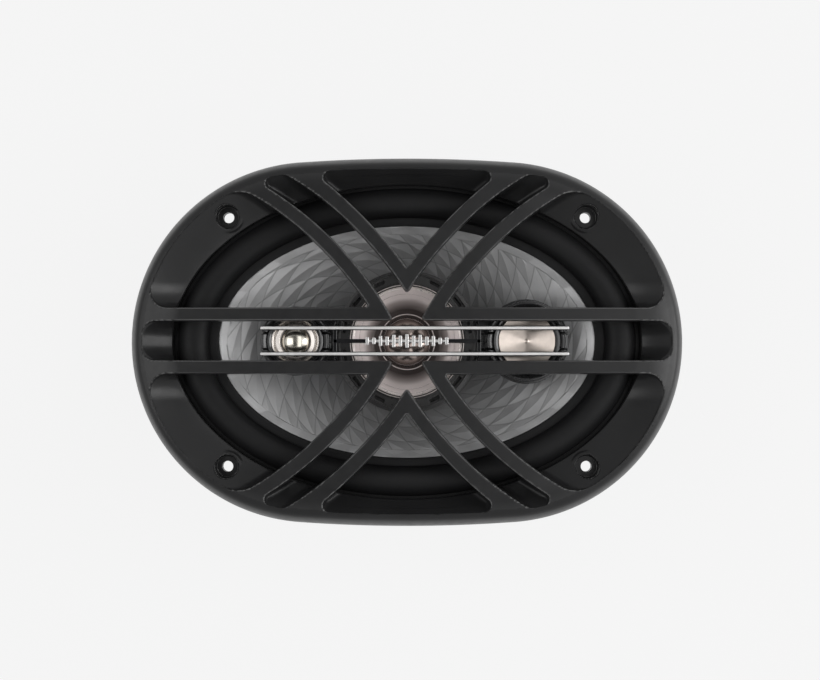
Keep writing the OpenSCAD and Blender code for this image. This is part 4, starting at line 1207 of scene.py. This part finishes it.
def build_suspension():
    """Spider, dust collar and voice coil."""
    r_in, r_out = FORMER_R + 0.03, 53.0
    wave_in, wave_out, wave_pitch = 18.5, 47.0, 9.6
    top = np.arange(wave_in, wave_out + 0.01, 0.4)
    wave = SHELF_Z + 1.5 + 1.2 * np.sin((top - wave_in) * TURN / wave_pitch)
    neck = r_in + 0.67
    rows = [(r_in, SHELF_Z - 0.6), (neck, SHELF_Z - 0.6), (neck, SHELF_Z + 0.9)]
    rows += list(zip(top, wave - 0.6)) + [(48, SHELF_Z + 0.02), (r_out, SHELF_Z + 0.02)]
    rows += [(r_out, SHELF_Z + 0.6), (48, SHELF_Z + 0.6)] + list(zip(top[::-1], wave[::-1]))
    rows += [(neck, SHELF_Z + 1.5), (neck, SHELF_Z + 2.6), (r_in, SHELF_Z + 2.6)]
    sides = 192
    points, quads = ring_sweep([(r, r, z) for r, z in rows], sides)
    weights = np.repeat([(wave_out - r) / (wave_out - wave_in) for r, _ in rows], sides)
    show_bending("corrugated_spider", (points, quads), "spider_cloth", "spider",
                 weights, crease=50)
    bore = FORMER_R - 0.45
    collar = [(6.4, -25.5, 0.2), (11, -24.2, 1.5), (bore, -26.4, 0.1), (bore, -25.6, 0.2), (11, -23.4, 1.5),
              (6.4, -24.9, 0.2)]
    show_turned("felt_collar", collar, "felt", "dust_collar")
    show_turned("coil_former", box_profile(FORMER_R - 0.4, FORMER_R, -56, -26, 0.08), "former_film",
                "voice_coil_former")
    turns, low, high = 26, -54.0, -43.0
    z = np.linspace(low, high, turns * 4 + 1)
    bulge = FORMER_R + 0.48 + 0.12 * np.abs(np.sin((z - low) / (high - low) * np.pi * turns))
    coil = [(FORMER_R + 0.02, low, 0)] + [(r, h, 0) for r, h in zip(bulge, z)] + [(FORMER_R + 0.02, high, 0)]
    show_turned("coil_winding", coil, "copper", "voice_coil_winding")


TINSEL_PATH = ((7.5, -61.5, -36.6), (8, -61, -32.5), (8.4, -57.5, -28), (8, -50, -27.8), (7.2, -42, -29.6),
               (6.6, -35, -29.8), (6, -28.5, -27), (5.4, -23.4, -22.6))
FEED_PATH = ((0, 0, -15), (0, 0, -40), (0, 0, -70), (0, -0.6, -74.6), (0, -3, -76.3), (0, -7, -76.45),
             (0, -24, -76.45), (0, -40, -76.45), (0, -44.6, -75.6), (0, -46.4, -72.5), (0, -46.6, -60),
             (0, -47, -50), (0, -49.6, -45), (1.4, -55, -42), (3.6, -59, -41.2), (5.6, -60.8, -41))


TINSEL_R, TINSEL_SIDES = 0.56, 16
WIRE_R, WIRE_APART = 0.78, 0.9


def braid(along, angle):
    """Crossed strands of a tinsel lead."""
    return 0.05 * np.sin(4 * angle + along * 3.2) * np.sin(4 * angle - along * 3.2)


def build_wires():
    for s, name, sleeve in ((1, "positive", "wire_red"), (-1, "negative", "wire")):
        path = smooth_path([(s * x, y, z) for x, y, z in TINSEL_PATH], 0.35)
        weights = np.concatenate([np.repeat(np.linspace(0, 1, len(path)), TINSEL_SIDES), [0, 1]])
        show_bending("tinsel_braid_" + name, tube(path, TINSEL_R, TINSEL_SIDES, braid), "tinsel",
                     "tinsel_lead_" + name, weights)
        path = smooth_path([(s * (x + WIRE_APART), y, z) for x, y, z in FEED_PATH], 0.7)
        show("insulated_wire_" + name, tube(path, WIRE_R), sleeve, "feed_wire_" + name)


BOARD_Z = SHELF_Z - FLANGE_T
BOARD_T = 1.6
# Terminals: place, width and thickness of the blade, and pole
TERMINALS = ((TERMINAL_X, 6.3, 0.8, "positive"), (-TERMINAL_X, 2.8, 0.5, "negative"))


def terminal_distance(x0, width, thick):
    """Push-on tab with a hole and bevelled tip, and the tube that rivets it to the board."""
    low = BOARD_Z - BOARD_T - thick

    def f(x, y, z):
        tab = smax(slab(x, x0 - width / 2, x0 + width / 2), slab(y, -81, -58), 0.2)
        tip = np.abs(x - x0) * 0.64 + (-78.4 - y) * 0.77 - width / 2 * 0.64
        tab = smax(smax(tab, tip, 0.3), slab(z, low, low + thick), 0.15)
        tab = smax(tab, width / 5 - np.hypot(x - x0, y + 77), 0.12)
        r = np.hypot(x - x0, y - TERMINAL_Y)
        rivet = smax(r - 1.2, slab(z, low, BOARD_Z + 0.7), 0.25)
        return cut(smin(tab, rivet, 0.15), smax(r - 0.55, BOARD_Z - 0.3 - z, 0.1), 0.1)

    return f


def build_terminals():
    board = soft_box((-14.5, -72.5, BOARD_Z - BOARD_T), (14.5, -55.5, BOARD_Z), 0.25)
    show("phenolic_board", board, "phenolic", "terminal_board")
    for x, width, thick, name in TERMINALS:
        low = (x - width / 2 - 1, -82, BOARD_Z - BOARD_T - thick - 0.6)
        high = (x + width / 2 + 1, -57, BOARD_Z + 1.3)
        net = surface_net(terminal_distance(x, width, thick), low, high, 0.22)
        show("push_on_tab_" + name, net, "tinned", "terminal_" + name)
    head, shank, low, high = 1.5, 1.0, BOARD_Z - 2.4, SHELF_Z + 0.82
    profile = [(0, low, 0), (head, low, 0.5), (head, low + 0.78, 0.1), (shank, low + 0.78, 0.1),
               (shank, SHELF_Z + 0.02, 0.1), (head, SHELF_Z + 0.02, 0.1), (head, high, 0.5), (0, high, 0)]
    parts = [moved(lathe(profile, x, 48, closed=False), (0, RIVET_Y, 0)) for x in (-RIVET_X, RIVET_X)]
    show("board_rivets", joined(parts), "zinc", "terminal_rivets")


def laid_along_x(part, x, y, z):
    """A turned part laid with its axis along X."""
    points, faces, normals = part
    order = [2, 0, 1]
    return points[:, order] + (x, y, z), faces, normals[:, order]


def build_capacitors():
    half, r = 7.5, 4.0
    profile = [(0, -half + 0.5, 0), (2.6, -half + 0.5, 0.2), (2.8, -half, 0.2), (r, -half, 0.7),
               (r, -half + 1.6, 0.4), (r - 0.5, -half + 2.2, 0.4), (r, -half + 2.8, 0.4), (r, half, 0.7),
               (2.8, half, 0.2), (2.6, half - 0.5, 0.2), (0, half - 0.5, 0)]
    y, z = middle("capacitors", 1), middle("capacitors", 2)
    places = (-38.8, 40.4)
    parts = [laid_along_x(lathe(profile, 0, 64, closed=False), x, y, z) for x in places]
    show("sleeved_capacitors", joined(parts), "sleeve", "capacitors")
    route = ((6.8, z), (8.4, z), (9.2, z + 1), (9.3, 2.6))
    leads = joined([tube(smooth_path([(x + s * d, y, h) for d, h in route], 0.2), 0.35, 10)
                    for x in places for s in (-1, 1)])
    obj = add_object("capacitor_leads", make_mesh("capacitor_leads", *leads), MATERIALS["tinned"])
    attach(obj, "frame")


# ---- Bridge ------------------------------------------------------------------------------

ARM_Z, ARM_TOP, ARM_HALF_W = 2.5, 6.5, 14.5
HOUSING_Z, HOUSING_TOP, FLOOR_Z = 4.0, 12.6, 5.5
SUPER_POD_R, SUPER_CAVITY_R = 15.2, 12.4
TWEETER_BASE_R, TWEETER_POD_R, TWEETER_CAVITY_R = 18.8, 17.6, 14.8
CUP_FLOOR_Z, SEAT_Z, BOWL_R = -14.0, 3.0, 30.6
RIB_Z, RIB_TOP, RIB_W = 12.65, 14.8, 2.0
STRIP_Y = middle("trim_strip_upper", 1)
STRIP_X = (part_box("trim_strip_upper")[0][0] / MM, corner("trim_strip_upper", 0))
STRIP_TOP = corner("trim_strip_upper", 2)
SPINE_X = 32.5


def bridge_distance(x, y, z):
    """Signed distance from the bridge: arms, the two pods, and the middle driver's bowl and magnet cup."""
    r = np.hypot(x, y)
    arms = smax(slab(x, SUPER_X, TWEETER_X), slab(y, -ARM_HALF_W, ARM_HALF_W), 1)
    body = smax(arms, slab(z, ARM_Z, ARM_TOP), 0.6)
    for x0, pod_r, base_r in ((SUPER_X, SUPER_POD_R, 14.0), (TWEETER_X, TWEETER_POD_R, TWEETER_BASE_R)):
        d = np.hypot(x - x0, y)
        pod = smax(d - pod_r, slab(z, HOUSING_Z, HOUSING_TOP), 0.6)
        low = ARM_Z if x0 == SUPER_X else HOUSING_Z
        body = smin(smin(body, smax(d - base_r, slab(z, low, ARM_TOP + 0.1), 0.5), 0.3), pod, 0.5)
    bowl = smin(r - 15.6, line(r, z, (15.6, -6.8), (BOWL_R, 1)), 1.5)
    bowl = smax(smax(bowl, r - BOWL_R, 0.5), slab(z, CUP_FLOOR_Z - 2, ARM_TOP), 0.6)
    body = smin(body, bowl, 0.5)
    cone = smax(line(r, z, (14.1, -5.4), (29, SEAT_Z)), -5.4 - z, 0.3)
    hollow = np.minimum(smax(r - 14.1, CUP_FLOOR_Z - z, 0.3), smax(cone, r - 29, 0.2))
    hollow = np.minimum(hollow, smax(r - 32.4, SEAT_Z - z, 0.2))
    body = cut(body, hollow, 0.3)
    for x0, cavity_r, mouth_r in ((SUPER_X, SUPER_CAVITY_R, 14.2), (TWEETER_X, TWEETER_CAVITY_R, 16.4)):
        d = np.hypot(x - x0, y)
        cavity = smax(d - cavity_r, FLOOR_Z - z, 0.2)
        mouth = line(d, z, (cavity_r, HOUSING_TOP - 1.2), (mouth_r, HOUSING_TOP + 0.1))
        cavity = np.minimum(cavity, smax(mouth, HOUSING_TOP - 1.2 - z, 0.1))
        wire = np.hypot(x - x0 + 8 * np.sign(x0), y - 4) - 1.5
        body = cut(cut(body, cavity, 0.25), smax(wire, z - FLOOR_Z - 1, 0.1), 0.2)
    groove = np.minimum(slab(np.abs(y), 11.2, 11.9), slab(np.abs(y), 3.2, 3.9))
    groove = smax(groove, ARM_TOP - 0.35 - z, 0.05)
    body = cut(body, groove, 0.12)
    return smax(body, POST_BORE_R - r, 0.2)


def mid_ring_distance(x, y, z):
    """Signed distance from the middle driver's slotted ring."""
    r = np.hypot(x, y)
    slots = 14
    body = smax(slab(r, 25.35, 31.8), slab(z, SEAT_Z, 7.4), 0.25)
    body = smax(body, line(r, z, (31.8, 5.4), (30.4, 7.4)), 0.3)
    step = smax(slab(r, 25.9, 29.9), 7.0 - z, 0.1)
    body = cut(body, step, 0.15)
    turn = (np.arctan2(y, x) - np.pi / 2 + np.pi / slots) % (TURN / slots) - np.pi / slots
    across = slab(r * np.cos(turn), 27.4, 29.0)
    slot = smax(smax(across, slab(r * np.sin(turn), -2.45, 2.45), 0.3), 4.6 - z, 0.1)
    return cut(body, slot, 0.2)


def build_bridge():
    low = (SUPER_X - SUPER_POD_R - 1.5, -BOWL_R - 1.5, CUP_FLOOR_Z - 3.5)
    high = (TWEETER_X + TWEETER_BASE_R + 1.5, BOWL_R + 1.5, HOUSING_TOP + 1.5)
    net = surface_net(bridge_distance, low, high, cell(0.5, 0.9))
    show("bridge_moulding", net, "housing_plastic", "bridge")
    net = surface_net(mid_ring_distance, (-33, -33, SEAT_Z - 1), (33, 33, 8.5), cell(0.35, 0.6))
    show("slotted_ring", net, "ring_plastic", "mid_ring")


def bar_box(ends, y, half, heights, r):
    """A soft box between two ends along X and two heights, and half as wide as it is about y."""
    return soft_box((ends[0], y - half, heights[0]), (ends[1], y + half, heights[1]), r)


def build_badge():
    ends = (STRIP_X[0] + 0.5, STRIP_X[1] - 0.5)
    parts = [bar_box(ends, s * STRIP_Y, RIB_W / 2, (RIB_Z, RIB_TOP), 0.35) for s in (-1, 1)]
    parts.append(bar_box((-SPINE_X, SPINE_X), 0, 0.9, (RIB_Z, RIB_Z + 0.8), 0.25))
    for s in (-1, 1):
        x = s * (SPINE_X - 0.9)
        parts.append(bar_box((x - 0.9, x + 0.9), 0, STRIP_Y, (RIB_Z, RIB_Z + 0.8), 0.25))
        profile = [(0, ARM_TOP + 0.05, 0), (0.9, ARM_TOP + 0.05, 0.1), (0.9, 13.05, 0.1), (0, 13.05, 0)]
        parts += [moved(lathe(profile, x, 24, closed=False), (0, y, 0)) for y in (-STRIP_Y, STRIP_Y)]
    show("badge_ribs", joined(parts), "gloss_plastic", "badge_bar")
    for s, node in ((1, "trim_strip_upper"), (-1, "trim_strip_lower")):
        strip = bar_box(STRIP_X, s * STRIP_Y, 0.65, (RIB_TOP, STRIP_TOP), 0.36)
        show("chrome_" + node, strip, "satin_chrome", node)
    base, count, pitch = RIB_Z + 0.82, 6, 2.9
    parts = [bar_box((-count * pitch, count * pitch), 0, 0.6, (base, base + 0.6), 0.2)]
    for i in range(-count, count + 1):
        height = 6 - 2.6 * (abs(i) / count) ** 1.5 - (1.1 if i % 2 else 0)
        x = i * pitch
        parts.append(bar_box((x - 0.75, x + 0.75), 0, height / 2, (base, base + 1.2), 0.3))
    show("level_bar_badge", joined(parts), "badge_chrome", "badge")


# ---- Small drivers -----------------------------------------------------------------------

def dome_profile(r, h, z, t, rings=28):
    """Profile of a thin spherical dome of base radius r and height h."""
    big = (r ** 2 + h ** 2) / (2 * h)
    centre = z + h - big
    outer_end = math.acos((z - centre) / big)
    inner_end = math.acos(min(1, (z - centre) / (big - t)))
    inner = [((big - t) * math.sin(a), centre + (big - t) * math.cos(a), 0)
             for a in np.linspace(0, inner_end, rings)]
    outer = [(big * math.sin(a), centre + big * math.cos(a), 0) for a in np.linspace(outer_end, 0, rings)]
    return inner + outer


MID_BEAD_R = 12.3
# Slope of the middle driver's cone, in degrees, at radii from its neck to its edge
MID_SLOPE_R = (10.95, 14.2, 15.8, 17.8, 18.8)
MID_SLOPE = (3, 10, 45, 45, 26)


def build_middle_driver():
    bezel = [(23.2, 3, 0.1), (25.3, 3, 0.1), (25.3, 8.2, 0.12), (25.15, 8.5, 0.12), (24.95, 8.5, 0.12),
             (24.8, 8.1, 0.1), (24.75, 7.6, 0.05), (24.5, 7.6, 0.05), (24.45, 7.7, 0.1), (24.3, 7.9, 0.1),
             (24.1, 7.9, 0.1), (23.95, 7.0, 0.1), (23.2, 6.62, 0.05)]
    show_turned("mid_trim_ring", bezel, "mid_trim", "mid_bezel")
    outer, inner = 23.15, 21.2
    roll = [(outer, 6.15, 0.05), (outer, 6.58, 0.1), (22.2, 6.16, 1.0), (inner, 5.62, 0.1),
            (inner, 5.2, 0.05), (22.2, 5.74, 1.0)]
    part = lathe(roll, 0, 160)
    weights = (outer - np.hypot(part[0][:, 0], part[0][:, 1])) / (outer - inner)
    show_bending("mid_roll", part, "rose_film", "mid_surround", weights)
    r = np.linspace(21.15, 10.95, 90)
    slope = np.tan(np.radians(np.interp(r, MID_SLOPE_R, MID_SLOPE)))
    z = 5.6 - np.concatenate([[0], np.cumsum((slope[1:] + slope[:-1]) / 2 * -np.diff(r))])
    z += 0.22 * np.clip(1 - ((r - MID_BEAD_R) / 0.35) ** 2, 0, 1)
    front = [(a, b, 0) for a, b in zip(r, z)]
    back = [(a + 0.1, b - 0.5, 0) for a, b in zip(r[::-6], z[::-6])]
    show_turned("mid_film_cone", front + back, "rose_film", "mid_cone", sides=160)
    show_turned("mid_film_cap", dome_profile(10.9, 5.2, 0.5, 0.5), "cap_film", "mid_dust_cap",
                closed=False, sides=160)


def build_tweeters():
    ring = [(12.75, 9.4, 0.1), (13.7, 9.4, 0.1), (13.7, FLOOR_Z + 0.05, 0.1), (14.7, FLOOR_Z + 0.05, 0.1),
            (14.7, 12.1, 0.2), (14.35, 12.4, 0.2), (13.6, 12.2, 0.3), (12.75, 11.6, 0.25)]
    show_turned("tweeter_trim_ring", ring, "gloss_plastic", "tweeter_ring", x=TWEETER_X)
    dish = [(0, 10, 0), (12.4, 11.1, 0.1), (12.4, 11.62, 0.15), (6, 10.98, 3), (1.1, 10.6, 0.3),
            (0.55, 10.9, 0.3), (0, 11.3, 0)]
    show_turned("tweeter_film_dish", dish, "dish_film", "tweeter_diaphragm", x=TWEETER_X,
                closed=False, sides=160)
    bezel = [(10.45, 9.2, 0.1), (11.4, 9.2, 0.1), (11.4, FLOOR_Z + 0.05, 0.1), (12.3, FLOOR_Z + 0.05, 0.1),
             (12.3, 11.95, 0.15), (11.95, 12.2, 0.15), (11.3, 11.9, 0.3), (10.45, 11.2, 0.2)]
    show_turned("super_trim_ring", bezel, "gloss_plastic", "super_bezel", x=SUPER_X)
    reflector = [(6.65, 8.95, 0.1), (7.5, 8.95, 0.1), (7.5, 9.3, 0.1), (10.4, 9.3, 0.1), (10.4, 11.5, 0.2),
                 (9.9, 11.7, 0.25), (9.4, 11.2, 0.2), (9.05, 10.6, 0.15), (8.6, 10.9, 0.2), (7, 10.3, 0.6),
                 (6.65, 10, 0.15)]
    show_turned("super_film_reflector", reflector, "reflector_film", "super_reflector",
                x=SUPER_X)
    show_turned("super_film_dome", dome_profile(6.3, 3.1, 9.5, 0.4), "dome_film", "super_dome",
                x=SUPER_X, closed=False)


def repaint_hidden_parts():
    """Gives the small drivers' inner parts, whose CAD shape stays, their real materials."""
    materials = {"voice_coil": "copper", "pole_plate": "zinc", "magnet": "nickel", "yoke": "zinc"}
    for part, material in materials.items():
        for driver in ("mid", "tweeter", "super"):
            frame["nodes"][driver + "_" + part].material_slots[0].material = MATERIALS[material]


build_grille()
build_basket()
build_surround()
build_cone()
build_suspension()
build_motor()
build_wires()
build_terminals()
build_capacitors()
build_bridge()
build_badge()
build_middle_driver()
build_tweeters()
repaint_hidden_parts()


# ---- Floor, lights and camera ------------------------------------------------------------

FLOOR_HALF = 12.0
FLOOR_GAP = 0.4


def build_stage():
    """A pale floor that glows a little, just below the speaker."""
    mesh = bpy.data.meshes.new("studio_floor")
    corners = [(FLOOR_HALF * x, FLOOR_HALF * y, 0) for x, y in ((-1, -1), (1, -1), (1, 1), (-1, 1))]
    mesh.from_pydata(corners, [], [(0, 1, 2, 3)])
    n = Nodes("floor_paper")
    paper = n.mix(n.noise(400), (0.055, 0.055, 0.055), (0.065, 0.065, 0.065))
    obj = add_object("studio_floor", mesh, n.finish(
        Base_Color=paper, Roughness=0.9, Specular_IOR_Level=0.1, Emission_Color=(1, 1, 1, 1),
        Emission_Strength=0.86))
    obj.location.z = (BOOT_Z - FLOOR_GAP) * MM


def aim(obj, target):
    """Turns a light or camera to look at a point."""
    obj.rotation_euler = (Vector(target) - obj.location).to_track_quat("-Z", "Y").to_euler()


def area_light(name, place, target, size, power):
    light = bpy.data.lights.new(name, "AREA")
    light.shape = "RECTANGLE"
    light.size, light.size_y = size
    light.energy = power
    obj = add_object(name, light)
    obj.location = place
    obj.visible_camera = False
    aim(obj, target)


# Strengths of the room's light, which add up: an axis, two places along it, and the strength at each
WORLD_FADES = (("Z", 0.58, 0.9, 0.52, 0.04), ("Z", 0.0, 0.4, -0.26, 0.0), ("Z", 0.02, 0.18, 0.62, 0.0),
               ("X", -0.05, 0.2, 0.0, 0.15))


def build_lights():
    """Soft boxes at the right, at the left and above, in a room that is pale low down and dark overhead."""
    area_light("key", (1.05, 0.0, 0.48), (0, 0, 0), (0.6, 0.85), 5.5)
    area_light("fill", (-0.8, 0.0, 1.0), (0, 0, 0), (0.9, 0.9), 4.5)
    area_light("top", (0.36, 0.0, 0.85), (0.05, 0, 0), (1.2, 0.4), 2.0)
    world = bpy.data.worlds.new("studio")
    bpy.context.scene.world = world
    world.use_nodes = True
    tree = world.node_tree
    background = tree.nodes["Background"]
    background.inputs["Color"].default_value = (1, 1, 1, 1)
    place = tree.nodes.new("ShaderNodeTexCoord")
    apart = tree.nodes.new("ShaderNodeSeparateXYZ")
    tree.links.new(place.outputs["Generated"], apart.inputs[0])
    strength = None
    for axis, start, end, low, high in WORLD_FADES:
        fade = tree.nodes.new("ShaderNodeMapRange")
        for key, number in (("From Min", start), ("From Max", end), ("To Min", low), ("To Max", high)):
            fade.inputs[key].default_value = number
        tree.links.new(apart.outputs[axis], fade.inputs["Value"])
        total = tree.nodes.new("ShaderNodeMath")
        total.inputs[1].default_value = 0
        tree.links.new(fade.outputs[0], total.inputs[0])
        if strength:
            tree.links.new(strength, total.inputs[1])
        strength = total.outputs[0]
    tree.links.new(strength, background.inputs["Strength"])


# The camera stands in front of the speaker, a little below its middle
CAMERA_AT, CAMERA_AIM = (0.00134, -0.0232, 0.6996), (0.00134, 0.0009, 0)
CAMERA_LENS, CAMERA_FILM = 68.7, 36


def build_camera():
    camera = bpy.data.cameras.new("camera")
    camera.lens, camera.sensor_width = CAMERA_LENS, CAMERA_FILM
    obj = add_object("camera", camera)
    obj.location = CAMERA_AT
    aim(obj, CAMERA_AIM)
    bpy.context.scene.camera = obj
    bpy.context.scene.view_settings.view_transform = "Standard"


build_stage()
build_lights()
build_camera()
